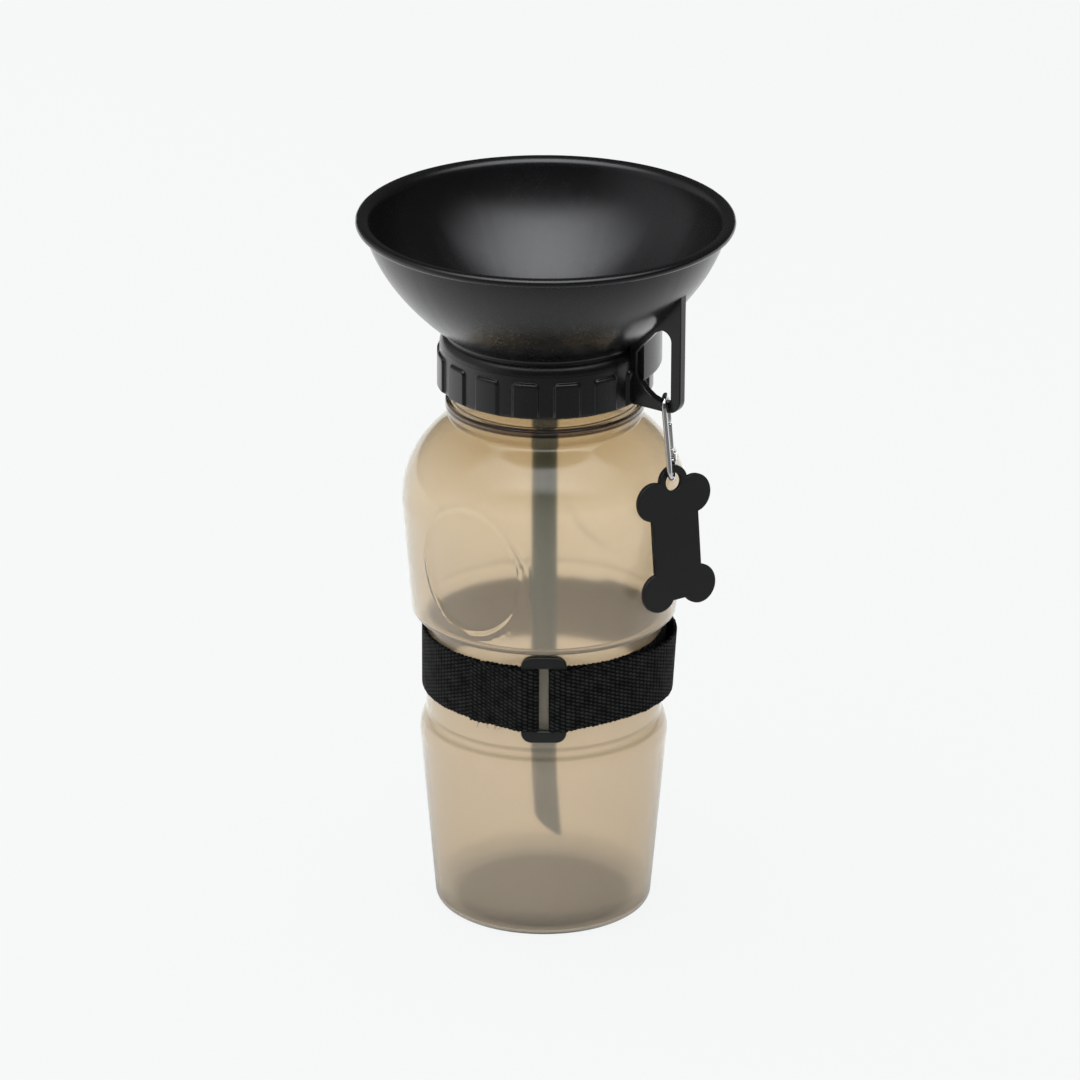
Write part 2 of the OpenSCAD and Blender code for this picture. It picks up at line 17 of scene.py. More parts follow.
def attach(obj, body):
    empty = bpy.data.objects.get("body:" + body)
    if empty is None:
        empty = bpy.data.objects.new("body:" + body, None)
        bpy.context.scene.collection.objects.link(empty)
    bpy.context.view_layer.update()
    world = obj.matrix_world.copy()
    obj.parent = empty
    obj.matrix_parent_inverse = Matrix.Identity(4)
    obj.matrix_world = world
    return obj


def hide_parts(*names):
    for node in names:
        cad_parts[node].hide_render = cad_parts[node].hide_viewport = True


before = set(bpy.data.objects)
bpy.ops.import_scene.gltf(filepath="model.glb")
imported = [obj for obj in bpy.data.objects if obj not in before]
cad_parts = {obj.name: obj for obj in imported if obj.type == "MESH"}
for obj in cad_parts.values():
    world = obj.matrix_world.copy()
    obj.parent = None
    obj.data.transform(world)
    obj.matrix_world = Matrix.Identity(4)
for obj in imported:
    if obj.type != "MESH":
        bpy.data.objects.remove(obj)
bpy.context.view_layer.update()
log = logging.getLogger("bottle")
Array = np.ndarray
Tree = bpy.types.NodeTree
Sockets = bpy.types.bpy_prop_collection

MM = 0.001  # metres


# ---------- curves and grids ----------


def ease(x: Array, low: float, high: float) -> Array:
    """Rises smoothly from 0 at low to 1 at high: 3t^2 - 2t^3 of the clipped share t."""
    t = np.clip((x - low) / (high - low), 0.0, 1.0)
    return t * t * (3.0 - 2.0 * t)


def bell(x: Array, middle: float, spread: float) -> Array:
    """A bell curve that is 1 at its middle: exp(-((x - middle) / spread)^2)."""
    return np.exp(-(((x - middle) / spread) ** 2))


def unit(v: Array) -> Array:
    """Rows of a vector array brought to length 1."""
    return v / np.linalg.norm(v, axis=1, keepdims=True)


def left_of(v: Array) -> Array:
    """Flat vectors turned a quarter circle to the left."""
    return np.stack([-v[:, 1], v[:, 0]], 1)


def polar(radius: float | Array, angle: Array) -> Array:
    """Flat points at a radius and an angle in radians, one a row."""
    return np.stack([radius * np.cos(angle), radius * np.sin(angle)], 1)


def arc(centre: tuple[float, float], radius: float, start: float, end: float, count: int) -> Array:
    """Points on a circle about a centre, from one angle in degrees to another, in so many steps."""
    return centre + polar(radius, np.radians(np.linspace(start, end, count + 1)))


def cubic(points: list[tuple[float, float]], count: int, aside: float = 0.0) -> Array:
    """Points on a cubic Bezier curve, moved to its left.

    Args:
        points: The four control points.
        count: Number of steps.
        aside: How far the points move along the curve's left normal.

    Returns:
        The points, one a row.
    """
    p = np.array(points, float)
    t = np.linspace(0.0, 1.0, count + 1)[:, None]
    s = 1.0 - t
    spot = s**3 * p[0] + 3 * s**2 * t * p[1] + 3 * s * t**2 * p[2] + t**3 * p[3]
    way = 3 * s**2 * (p[1] - p[0]) + 6 * s * t * (p[2] - p[1]) + 3 * t**2 * (p[3] - p[2])
    return spot + aside * left_of(unit(way))


def lengths(path: Array) -> Array:
    """Distance along a line at each of its points."""
    return np.concatenate([[0.0], np.cumsum(np.linalg.norm(np.diff(path, axis=0), axis=1))])


def along(path: Array, spots: Array) -> Array:
    """A line's points at given distances along it."""
    run = lengths(path)
    return np.stack([np.interp(spots, run, path[:, k]) for k in range(path.shape[1])], 1)


def dense(path: Array, step: float) -> Array:
    """Puts more points on a line, keeping its corners.

    Args:
        path: The line's points.
        step: The longest gap wanted, in millimetres.

    Returns:
        The corners and, where they are far apart, points a step apart between them.
    """
    gaps = np.linalg.norm(np.diff(path, axis=0), axis=1)
    run = lengths(path)
    parts = np.maximum(1, np.ceil(gaps / step)).astype(int)
    share = np.concatenate([np.arange(n) / n for n in parts])
    first = np.repeat(np.arange(len(gaps)), parts)
    return along(path, np.append(run[first] + share * gaps[first], run[-1]))


def even(path: Array, step: float) -> Array:
    """Resamples a line at equal steps of its length."""
    whole = lengths(path)[-1]
    return along(path, np.linspace(0.0, whole, int(round(whole / step)) + 1))


def soften(path: Array, times: int) -> Array:
    """Rounds a line: each point becomes a quarter, half, quarter mean with its neighbours.

    Args:
        path: The line's points.
        times: How often this is done.

    Returns:
        The rounder line.
    """
    path = path.copy()
    for _ in range(times):
        path[1:-1] = 0.25 * path[:-2] + 0.5 * path[1:-1] + 0.25 * path[2:]
    return path


def close_at_ends(run: Array, reach: float, start: float = 0.0) -> Array:
    """Share of a section's full size along a line: a quarter circle over a reach at each end.

    Args:
        run: Distance along the line at each point.
        reach: Length of each round.
        start: Share of the reach that is left out at the tips, so they stay open.

    Returns:
        The share at each point.
    """
    ends = np.minimum(run, run[-1] - run)
    return np.sqrt(1 - (1 - np.clip(ends / reach + start, 0, 1)) ** 2)


def helix(heights: Array, around: Array, start: float, pitch: float, turns: float) -> Array:
    """Share of its full height that a thread's ridge has at each row and column.

    The ridge's middle climbs by the pitch in each turn. It is full within 0.13 of
    the pitch, falls to nothing at 0.3 of it, and fades at both ends of the thread.

    Args:
        heights: Height of each row.
        around: Angle of each column, in radians.
        start: Height at which the ridge's middle starts.
        pitch: How far it climbs in a turn.
        turns: How many turns it makes.

    Returns:
        The share, from 0 to 1.
    """
    turn = (around / (2 * pi)) % 1.0
    ridge = np.zeros((len(heights), len(around)))
    for lap in range(int(turns) + 1):
        gone = turn + lap
        away = np.abs(heights[:, None] - (start + pitch * gone)[None]) / pitch
        fade = ease(gone, 0.0, 0.04) * (1 - ease(gone, turns - 0.04, turns))
        ridge = np.maximum(ridge, np.clip((0.3 - away) / 0.17, 0, 1) * fade[None])
    return ridge


def turning(axis: str, angle: float) -> Array:
    """The 3 x 3 matrix that turns by an angle in degrees about x, y or z."""
    return np.array(Matrix.Rotation(radians(angle), 3, axis.upper()))


@dataclass(frozen=True)
class Shell:
    """A closed skin of triangles, in millimetres.

    points are its corners, tris the three corners of each triangle, and uv the
    place of each of those on the surface, also in millimetres.
    """

    points: Array
    tris: Array
    uv: Array

    def placed(self, matrix: Array, offset: Array | tuple[float, ...] = (0, 0, 0)) -> "Shell":
        """The shell turned by a matrix and then moved."""
        return Shell(self.points @ np.asarray(matrix).T + np.asarray(offset), self.tris, self.uv)

    def outward(self) -> "Shell":
        """The shell with its seams and poles welded and its faces pointing out.

        Equal points become one, triangles that shrink to a line go, and the
        order turns round where the signed volume is negative.

        Returns:
            The mended shell.
        """
        _, first, same = np.unique(
            np.round(self.points, 5) + 0.0, axis=0, return_index=True, return_inverse=True
        )
        tris = same.reshape(-1)[self.tris]
        points = self.points[first]
        full = np.all(tris != np.roll(tris, -1, 1), axis=1)
        tris, uv = tris[full], self.uv[full]
        a, b, c = (points[tris[:, k]] for k in range(3))
        if np.einsum("ij,ij->", a, np.cross(b, c)) < 0:
            tris, uv = tris[:, ::-1], uv[:, ::-1]
        return Shell(points, tris, uv)


def skin(grid: Array, uv: Array | None = None) -> Shell:
    """Joins a grid of points with two triangles a cell.

    Args:
        grid: Points in rows and columns.
        uv: Place of each point on the surface; the rows and columns if left out.

    Returns:
        The grid's skin.
    """
    rows, cols = grid.shape[:2]
    if uv is None:
        uv = np.stack(np.meshgrid(np.arange(cols), np.arange(rows)), 2).astype(float)
    a = np.arange(rows - 1)[:, None] * cols + np.arange(cols - 1)[None, :]
    b, c, d = a + 1, a + cols + 1, a + cols
    tris = np.stack([np.stack([a, b, c], 2), np.stack([a, c, d], 2)], 2).reshape(-1, 3)
    return Shell(grid.reshape(-1, 3), tris, uv.reshape(-1, 2)[tris])


def capped(rings: Array, tips: Array | None = None) -> Shell:
    """Joins a row of rings and closes both ends.

    Args:
        rings: The rings' points, a ring a row.
        tips: The points that the ends close on; the end rings' middles if left out.

    Returns:
        The closed shell.
    """
    tips = rings[[0, -1]].mean(1) if tips is None else tips
    first, last = (np.repeat(tip[None, None], rings.shape[1], 1) for tip in tips)
    return skin(np.concatenate([first, rings, last]))


def join(shells: list[Shell]) -> Shell:
    """Puts several shells in one.

    Args:
        shells: The shells.

    Returns:
        One shell with all their triangles.
    """
    starts = np.cumsum([0] + [len(s.points) for s in shells[:-1]])
    return Shell(
        np.concatenate([s.points for s in shells]),
        np.concatenate([s.tris + n for s, n in zip(shells, starts)]),
        np.concatenate([s.uv for s in shells]),
    )


def upright(radius: Array, height: Array, angle: Array) -> Array:
    """Grid points at radii, heights and angles about the upright axis."""
    return np.stack([radius * np.cos(angle), radius * np.sin(angle), height], 2)


def lathe(profile: Array, around: Array, swell: Array | float = 0.0) -> Shell:
    """Turns a profile about the upright axis.

    A point at radius r, height z and angle a is (r cos a, r sin a, z).

    Args:
        profile: Radius and height of each row.
        around: Angles of the columns, in radians; the last closes on the first.
        swell: What is added to the radius at each row and column.

    Returns:
        The turned shell.
    """
    a = np.broadcast_to(around, (len(profile), len(around)))
    grid = upright(profile[:, :1] + swell + 0 * a, profile[:, 1:] + 0 * a, a)
    grid[:, -1] = grid[:, 0]
    uv = np.stack([a * np.max(profile[:, 0]), lengths(profile)[:, None] + 0 * a], 2)
    return skin(grid, uv).outward()


def rod(path: Array, radius: Array, side: tuple[float, float, float], count: int) -> Shell:
    """A rod of changing radius along a line that lies across one direction.

    A ring is the line's point plus r (cos f n + sin f m), where n and m are at
    right angles to the line, and n to side too. The ends close on the line.

    Args:
        path: The line's points.
        radius: The rod's radius at each of them.
        side: The direction that the line lies across.
        count: Number of points in a ring.

    Returns:
        The rod.
    """
    way = unit(np.gradient(path, axis=0))
    out = unit(np.cross(side, way))
    over = np.cross(way, out)
    f = np.linspace(0.0, 2 * pi, count + 1)
    f[-1] = 0.0
    ring = np.cos(f)[None, :, None] * out[:, None] + np.sin(f)[None, :, None] * over[:, None]
    return capped(path[:, None] + radius[:, None, None] * ring, path[[0, -1]]).outward()


def domed(length: float, radius: float, count: int = 5) -> tuple[Array, Array]:
    """Places and radii along a rod of one radius whose ends are half balls.

    Args:
        length: The rod's whole length.
        radius: Its radius.
        count: Rings in each dome.

    Returns:
        Distances along the rod, and the radius at each.
    """
    a = np.linspace(0.12, pi / 2, count)
    rise, size = radius * (1 - np.cos(a)), radius * np.sin(a)
    return np.concatenate([rise, (length - rise)[::-1]]), np.concatenate([size, size[::-1]])


def plate(outline: Array, holes: list[Array], thick: float, edge: float, steps: int = 5) -> Shell:
    """A flat plate with rounded edges, its outline in x and y and its middle at z = 0.

    Round each outline runs a quarter circle from the top face to the side and one
    from the side to the bottom: at angle a the line is edge (1 - cos a) inside the
    outline and edge (1 - sin a) below the face.

    Args:
        outline: The outer line, not closed.
        holes: The lines of its holes.
        thick: The plate's thickness.
        edge: Radius of the rounded edges.
        steps: Number of steps in each quarter circle.

    Returns:
        The plate.
    """
    a = np.radians(np.linspace(90.0, 0.0, steps + 1))
    inset = edge * (1 - np.cos(np.concatenate([a, a[::-1]])))
    high = thick / 2 - edge * (1 - np.sin(a))
    height = np.concatenate([high, -high[::-1]])
    sides, tops, lows = [], [], []
    for n, line in enumerate([outline, *holes]):
        area = np.sum(line[:, 0] * np.roll(line[:, 1], -1) - line[:, 1] * np.roll(line[:, 0], -1))
        if (area < 0) != (n > 0):
            line = line[::-1]
        ways = line - np.roll(line, 1, 0), np.roll(line, -1, 0) - line
        before, after = (unit(left_of(v)) for v in ways)
        mid = before + after
        mid /= np.maximum(np.sum(mid * before, axis=1, keepdims=True), 0.7)
        ring = line[None] + inset[:, None, None] * mid[None]
        grid = np.concatenate([ring, np.broadcast_to(height[:, None, None], (*ring.shape[:2], 1))], 2)
        sides.append(skin(np.concatenate([grid, grid[:, :1]], 1)))
        tops.append(grid[0])
        lows.append(grid[-1])
    faces = []
    for loops, order in ((tops, 1), (lows, -1)):
        tris = np.array(tessellate_polygon([loop.tolist() for loop in loops]))
        points = np.concatenate(loops)
        a, b, c = (points[tris[:, k], :2] for k in range(3))
        (bx, by), (cx, cy) = (b - a).T, (c - a).T
        wrong = (bx * cy - by * cx) * order < 0
        tris[wrong] = tris[wrong][:, ::-1]
        faces.append(Shell(points, tris, points[:, :2][tris]))
    a, b, c = (sides[0].points[sides[0].tris[:, k]] for k in range(3))
    normal = np.cross(b - a, c - a)
    middle = (a + b + c) / 3 - np.append(outline.mean(0), 0.0)
    if np.einsum("ij,ij->", normal[:, :2], middle[:, :2]) < 0:
        sides = [Shell(s.points, s.tris[:, ::-1], s.uv[:, ::-1]) for s in sides]
    return join([*sides, *faces]).outward()


def round_box(width: float, height: float, radius: float, count: int = 8) -> Array:
    """Outline of a rectangle with round corners about the origin.

    Args:
        width: Its width.
        height: Its height.
        radius: Radius of its corners.
        count: Number of steps in each corner.

    Returns:
        The outline's points, not closed.
    """
    x, y = width / 2 - radius, height / 2 - radius
    corners = [((x, y), 0), ((-x, y), 90), ((-x, -y), 180), ((x, -y), 270)]
    return np.concatenate([arc(c, radius, a, a + 90, count) for c, a in corners])


# ---------- finishes ----------


def linear(code: str) -> tuple[float, float, float, float]:
    """The linear colour of an sRGB hex code such as "2A2B2B".

    Args:
        code: The hex code.

    Returns:
        Red, green, blue and an alpha of 1.
    """
    v = np.array([int(code[k : k + 2], 16) for k in (0, 2, 4)]) / 255.0
    v = np.where(v <= 0.04045, v / 12.92, ((v + 0.055) / 1.055) ** 2.4)
    return (*(float(x) for x in v), 1.0)


def add(tree: Tree, kind: str, inputs: dict | None = None, **settings: object) -> bpy.types.Node:
    """Adds a node.

    Args:
        tree: The node tree.
        kind: The node's type, without its ShaderNode prefix.
        inputs: For each socket, a value, the output socket that feeds it, or a
            node whose first output feeds it.
        settings: The node's own properties.

    Returns:
        The new node.
    """
    new = tree.nodes.new("ShaderNode" + kind)
    for key, value in settings.items():
        setattr(new, key, value)
    for key, value in (inputs or {}).items():
        if isinstance(value, bpy.types.Node):
            value = value.outputs[0]
        if isinstance(value, bpy.types.NodeSocket):
            tree.links.new(value, new.inputs[key])
        else:
            new.inputs[key].default_value = value
    return new


def blank(name: str) -> tuple[bpy.types.Material, Tree]:
    """A new material with an empty node tree.

    Args:
        name: The material's name.

    Returns:
        The material and its tree.
    """
    material = bpy.data.materials.new(name)
    material.use_nodes = True
    material.node_tree.nodes.clear()
    return material, material.node_tree


@dataclass(frozen=True)
class Finish:
    """What a piece is made of, and how its material is built."""

    name: str

    def inputs(self, tree: Tree, place: Sockets) -> dict[str, object]:
        """Adds the nodes that feed the finish's shader.

        Args:
            tree: The material's node tree.
            place: The outputs of its texture coordinate node.

        Returns:
            The shader's inputs: for each, a value or the node that feeds it.
        """
        raise NotImplementedError

    def material(self) -> bpy.types.Material:
        """Builds the material from the finish's own inputs.

        Returns:
            The finished material.
        """
        material, tree = blank(self.name)
        inputs = self.inputs(tree, add(tree, "TexCoord").outputs)
        add(tree, "OutputMaterial", {"Surface": add(tree, "BsdfPrincipled", inputs)})
        return material


class Grain(Enum):
    """How a moulded surface was textured: the share of the grain's depth that shows."""

    SATIN = 0.5
    POWDER = 0.8


@dataclass(frozen=True)
class MouldedPlastic(Finish):
    """Pigmented plastic from a textured mould, or a powder coat.

    It gives the eye an even dark colour under a soft gloss that breaks up a
    little where hands and the mould have marked it.
    """

    colour: str
    worn: str
    roughness: float
    specular: float
    grain: Grain
    grain_mm: float
    grain_depth_mm: float

    def inputs(self, tree: Tree, place: Sockets) -> dict[str, object]:
        """Adds the colour, the patchy gloss and the grain.

        Args:
            tree: The material's node tree.
            place: The outputs of its texture coordinate node.

        Returns:
            The shader's inputs.
        """
        spot = place["Object"]
        broad = add(tree, "TexNoise", {"Vector": spot, "Scale": 1000 / 28, "Detail": 3.0})
        marks = {"Scale": 1000 / 3.5, "Detail": 6.0, "Roughness": 0.7}
        scuff = add(tree, "TexNoise", {"Vector": spot, **marks})
        fine = add(tree, "TexNoise", {"Vector": spot, "Scale": 1000 / self.grain_mm, "Detail": 2.0})
        ends = {"Color1": linear(self.colour), "Color2": linear(self.worn)}
        tint = add(tree, "MixRGB", {"Fac": broad, **ends})
        mixed = add(tree, "Math", {0: broad, 1: scuff}, operation="ADD")
        reach = {"To Min": self.roughness * 0.88, "To Max": self.roughness * 1.14}
        gloss = add(tree, "MapRange", {"Value": mixed, "From Min": 0.7, "From Max": 1.3, **reach})
        depth = self.grain_depth_mm / 1000
        bump = add(tree, "Bump", {"Height": fine, "Strength": self.grain.value, "Distance": depth})
        return {
            "Base Color": tint,
            "Roughness": gloss,
            "Specular IOR Level": self.specular,
            "IOR": 1.49,
            "Normal": bump,
        }


@dataclass(frozen=True)
class SmokePlastic(Finish):
    """Blow-moulded smoke-tinted polyethylene.

    It gives the eye a warm see-through wall: what lies behind shows softly, some
    light is scattered in the wall, and the skin is smooth with faint mould waves.
    The wall is cloudier lower down and thicker and deeper at the neck. Its base's middle is darkened by a
    painted shadow of the floor under it. Painted dark lines stand for the shade and dark reflections at the
    edges of the neck's bead, and painted shade lines mark the lower crease.

    Each pair of heights or radii, in metres, says where a change starts and ends, and
    each pair in the lines is a narrow band's middle height and half height.
    """

    colour: str
    low: str
    neck: str
    edge: str
    # foot: painted shadow in the base's middle, the floor's shadow seen through the base
    foot: str
    # bead: painted dark lines at the bead's edges, standing for its shade and dark reflections
    bead: str
    # crease: painted shade lines at the lower crease
    crease: str
    roughness: float
    clear_top: float
    clear_low: float
    body_z: tuple[float, float] = (0.105, 0.185)
    crown_z: tuple[float, float] = (0.146, 0.162)
    # Heights and radii over which the painted shadow in the base's middle fades in
    painted_shadow_z: tuple[float, float] = (0.009, 0.0035)
    painted_shadow_r: tuple[float, float] = (0.0372, 0.0285)
    painted_bead_lines: tuple[tuple[float, float], ...] = ((0.16825, 0.00065), (0.16975, 0.0006))
    painted_crease_lines: tuple[tuple[float, float], ...] = ((0.0656, 0.0007), (0.0628, 0.0008))

    def inputs(self, tree: Tree, place: Sockets) -> dict[str, object]:
        """Adds the layered tint with its painted shadow and painted dark lines, the cloudiness and the
        waves.

        Args:
            tree: The material's node tree.
            place: The outputs of its texture coordinate node.

        Returns:
            The shader's inputs.
        """
        spot = place["Object"]
        up = add(tree, "SeparateXYZ", {0: spot}).outputs["Z"]
        flow = add(tree, "Mapping", {"Vector": spot, "Scale": (1.0, 1.0, 0.35)})
        cloud = add(tree, "TexNoise", {"Vector": flow, "Scale": 1000 / 45, "Detail": 2.0})
        wave = add(tree, "TexNoise", {"Vector": flow, "Scale": 1000 / 14, "Detail": 1.0})
        rise = add(tree, "Math", {0: cloud, 1: 0.05, 2: up}, operation="MULTIPLY_ADD")
        height, crown = (
            add(tree, "MapRange", {"Value": value, "From Min": start, "From Max": end})
            for value, (start, end) in ((rise, self.body_z), (up, self.crown_z))
        )
        flat = add(tree, "VectorMath", {0: spot, 1: (1.0, 1.0, 0.0)}, operation="MULTIPLY")
        out = add(tree, "VectorMath", {0: flat}, operation="LENGTH").outputs["Value"]
        # The base's middle darkens to the foot colour: a painted shadow of the floor under the base
        start, end = self.painted_shadow_r
        shadow_disc = add(tree, "MapRange", {"Value": out, "From Min": start, "From Max": end})
        start, end = self.painted_shadow_z
        painted_base_shadow = add(tree, "MapRange", {"Value": up, "From Min": start, "From Max": end, "To Max": shadow_disc})
        aside = add(tree, "LayerWeight", {"Blend": 0.5}).outputs["Facing"]
        layers = [(height, self.colour), (crown, self.neck), (aside, self.edge), (painted_base_shadow, self.foot)]
        # Narrow bands of painted shade: dark lines at the bead's edges for its shade and dark reflections,
        # and shade lines at the lower crease
        for code, lines in ((self.bead, self.painted_bead_lines), (self.crease, self.painted_crease_lines)):
            for middle, half in lines:
                off = add(tree, "Math", {0: up, 1: middle}, operation="SUBTRACT")
                away = add(tree, "Math", {0: off}, operation="ABSOLUTE")
                near = {"From Min": half, "From Max": half * 0.5}
                layers.append((add(tree, "MapRange", {"Value": away, **near}), code))
        tint = linear(self.low)
        for share, code in layers:
            tint = add(tree, "MixRGB", {"Fac": share, "Color1": tint, "Color2": linear(code)})
        reach = {"To Min": self.clear_low, "To Max": self.clear_top}
        clear = add(tree, "MapRange", {"Value": height, **reach})
        bump = add(tree, "Bump", {"Height": wave, "Strength": 0.25, "Distance": 0.0004})
        return {
            "Base Color": tint,
            "Roughness": self.roughness,
            "IOR": 1.4,
            "Transmission Weight": clear,
            "Normal": bump,
        }


@dataclass(frozen=True)
class SoftPlastic(Finish):
    """Extruded or moulded soft plastic or silicone: cloudy, with a dull even gloss."""

    colour: str
    deep: str
    roughness: float
    clear: float

    def inputs(self, tree: Tree, place: Sockets) -> dict[str, object]:
        """Adds the drawn lines along the piece, in colour and relief.

        Args:
            tree: The material's node tree.
            place: The outputs of its texture coordinate node.

        Returns:
            The shader's inputs.
        """
        drawn = add(tree, "Mapping", {"Vector": place["Object"], "Scale": (1.0, 1.0, 0.08)})
        line = add(tree, "TexNoise", {"Vector": drawn, "Scale": 1000 / 1.6, "Detail": 2.0})
        ends = {"Color1": linear(self.colour), "Color2": linear(self.deep)}
        return {
            "Base Color": add(tree, "MixRGB", {"Fac": line, **ends}),
            "Roughness": self.roughness,
            "IOR": 1.42,
            "Transmission Weight": self.clear,
            "Normal": add(tree, "Bump", {"Height": line, "Strength": 0.3, "Distance": 0.00008}),
        }


@dataclass(frozen=True)
class Plating(Finish):
    """Bright nickel-chrome plate on steel wire, or bare spring steel.

    It gives the eye a mirror with fine pits and dull spots from handling.
    """

    colour: str
    roughness: float

    def inputs(self, tree: Tree, place: Sockets) -> dict[str, object]:
        """Adds the dull spots and the pits.

        Args:
            tree: The material's node tree.
            place: The outputs of its texture coordinate node.

        Returns:
            The shader's inputs.
        """
        spot = place["Object"]
        spots = add(tree, "TexNoise", {"Vector": spot, "Scale": 1000 / 2.2, "Detail": 4.0})
        pits = add(tree, "TexNoise", {"Vector": spot, "Scale": 1000 / 0.35, "Detail": 2.0})
        reach = {"To Min": self.roughness * 0.7, "To Max": self.roughness * 1.8}
        gloss = add(tree, "MapRange", {"Value": spots, "From Min": 0.35, "From Max": 0.7, **reach})
        return {
            "Base Color": linear(self.colour),
            "Metallic": 1.0,
            "Roughness": gloss,
            "Normal": add(tree, "Bump", {"Height": pits, "Strength": 0.15, "Distance": 0.00002}),
        }


@dataclass(frozen=True)
class WovenPolypropylene(Finish):
    """Black polypropylene webbing.

    Thick warp yarns dive under a weft yarn at every column, and neighbouring
    columns are half a row apart, so the face shows short slanted humps laid like
    bricks. The pattern follows the piece's own UV map, which is in millimetres: u
    runs along the strap and v across it.
    """

    yarn: str
    # yarn is the humps' colour; gap is painted shade in the weave's hollows
    gap: str
    column_mm: float = 1.6
    row_mm: float = 1.25
    slant_mm: float = 0.35
    depth_mm: float = 0.55

    def inputs(self, tree: Tree, place: Sockets) -> dict[str, object]:
        """Adds the weave's height, the relief that follows it, and painted shade that darkens the colour
        towards the gap colour where the weave is low.

        The height is the yarn's round top, |sin(pi v' / row)| to the power 1.2, times
        a pinch at each column's edge, |sin(pi u / column)| to the power 0.5, where v'
        is v plus half a row for each column gone and the slant within the column.

        Args:
            tree: The material's node tree.
            place: The outputs of its texture coordinate node.

        Returns:
            The shader's inputs.
        """
        uv = add(tree, "SeparateXYZ", {0: place["UV"]}).outputs
        across = add(tree, "Math", {0: uv["X"], 1: self.column_mm}, operation="DIVIDE")
        column = add(tree, "Math", {0: across}, operation="FLOOR")
        share = add(tree, "Math", {0: across, 1: column}, operation="SUBTRACT")
        brick = add(tree, "Math", {0: column, 1: self.row_mm / 2, 2: uv["Y"]}, operation="MULTIPLY_ADD")
        row = add(tree, "Math", {0: share, 1: self.slant_mm, 2: brick}, operation="MULTIPLY_ADD")
        humps = []
        for value, period, power in ((row, self.row_mm, 1.2), (uv["X"], self.column_mm, 0.5)):
            turns = add(tree, "Math", {0: value, 1: pi / period}, operation="MULTIPLY")
            sine = add(tree, "Math", {0: turns}, operation="SINE")
            size = add(tree, "Math", {0: sine}, operation="ABSOLUTE")
            humps.append(add(tree, "Math", {0: size, 1: power}, operation="POWER"))
        height = add(tree, "Math", {0: humps[0], 1: humps[1]}, operation="MULTIPLY")
        fuzz = add(tree, "TexNoise", {"Vector": place["UV"], "Scale": 3.2, "Detail": 5.0, "Roughness": 0.8})
        patchy = add(tree, "TexNoise", {"Vector": place["UV"], "Scale": 0.3, "Detail": 2.0})
        top = add(tree, "Math", {0: fuzz, 1: 0.35, 2: height}, operation="MULTIPLY_ADD")
        lit = add(tree, "Math", {0: top, 1: patchy}, operation="MULTIPLY")
        # The colour runs from the gap colour in the hollows to the yarn colour on the humps: painted shade
        # of the weave's relief, times random patchy tone
        painted_weave_shade = add(tree, "MapRange", {"Value": lit, "From Min": 0.16, "From Max": 0.6})
        ends = {"Color1": linear(self.gap), "Color2": linear(self.yarn)}
        return {
            "Base Color": add(tree, "MixRGB", {"Fac": painted_weave_shade, **ends}),
            "Roughness": 0.7,
            "Specular IOR Level": 0.05,
            "Sheen Weight": 0.01,
            "Sheen Roughness": 0.5,
            "Normal": add(
                tree, "Bump", {"Height": top, "Strength": 1.0, "Distance": self.depth_mm / 1000}
            ),
        }


@dataclass(frozen=True)
class Fibre(Finish):
    """Twisted sewing thread, or the pile of fastening tape: dull, fuzzy and dark."""

    colour: str
    lit: str
    spacing_mm: float
    depth_mm: float

    def inputs(self, tree: Tree, place: Sockets) -> dict[str, object]:
        """Adds the loops' relief and the fuzz's colour.

        Args:
            tree: The material's node tree.
            place: The outputs of its texture coordinate node.

        Returns:
            The shader's inputs.
        """
        spot = place["Object"]
        loops = add(tree, "TexVoronoi", {"Vector": spot, "Scale": 1000 / self.spacing_mm})
        fuzz = add(tree, "TexNoise", {"Vector": spot, "Scale": 3000 / self.spacing_mm, "Detail": 4.0})
        ends = {"Color1": linear(self.colour), "Color2": linear(self.lit)}
        return {
            "Base Color": add(tree, "MixRGB", {"Fac": fuzz, **ends}),
            "Roughness": 0.85,
            "Specular IOR Level": 0.1,
            "Sheen Weight": 0.03,
            "Normal": add(
                tree, "Bump", {"Height": loops, "Strength": 0.9, "Distance": self.depth_mm / 1000}
            ),
        }


SMOKE = SmokePlastic(
    name="smoke_polyethylene_blow_moulded",
    colour="FFF3DE",
    low="F4E6D1",
    neck="D2BD98",
    edge="E2D4C0",
    # foot: painted shadow in the base's middle
    foot="2E2820",
    # bead: painted dark reflection and shade lines at the bead's edges
    bead="2A1F1A",
    # crease: painted shade lines at the lower crease
    crease="D6C9B2",
    roughness=0.12,
    clear_top=0.95,
    clear_low=0.82,
)
CAP_PP = MouldedPlastic(
    "black_polypropylene_satin_moulded", "0B0B0C", "111112", 0.26, 0.5, Grain.SATIN, 0.5, 0.006
)
BUCKLE_PP = MouldedPlastic(
    "black_acetal_satin_moulded", "0D0E0E", "131414", 0.36, 0.4, Grain.SATIN, 0.4, 0.008
)
TAG_COAT = MouldedPlastic(
    "black_powder_coat_on_aluminium", "0E0E0F", "151516", 0.5, 0.4, Grain.POWDER, 0.4, 0.03
)
TUBE_PE = SoftPlastic("grey_green_soft_pvc_extruded", "24505E", "204753", 0.35, 0.1)
SILICONE = SoftPlastic("clear_silicone_rubber_moulded", "C9CAC6", "B9BAB6", 0.45, 0.3)
CHROME = Plating("bright_chrome_plate_on_steel_wire", "D6D6D8", 0.09)
STEEL = Plating("spring_steel_drawn", "A9A9AC", 0.25)
# The gap colour 020202 is painted shade in the weave's hollows
WEBBING = WovenPolypropylene("black_polypropylene_webbing_woven", "2B2C2C", "020202")
THREAD = Fibre("black_polyester_thread_twisted", "0A0A0A", "161616", 0.18, 0.05)
HOOK_TAPE = Fibre("nylon_hook_tape_moulded", "161616", "303030", 0.7, 0.25)
LOOP_TAPE = Fibre("nylon_loop_tape_brushed", "121212", "292929", 0.35, 0.2)


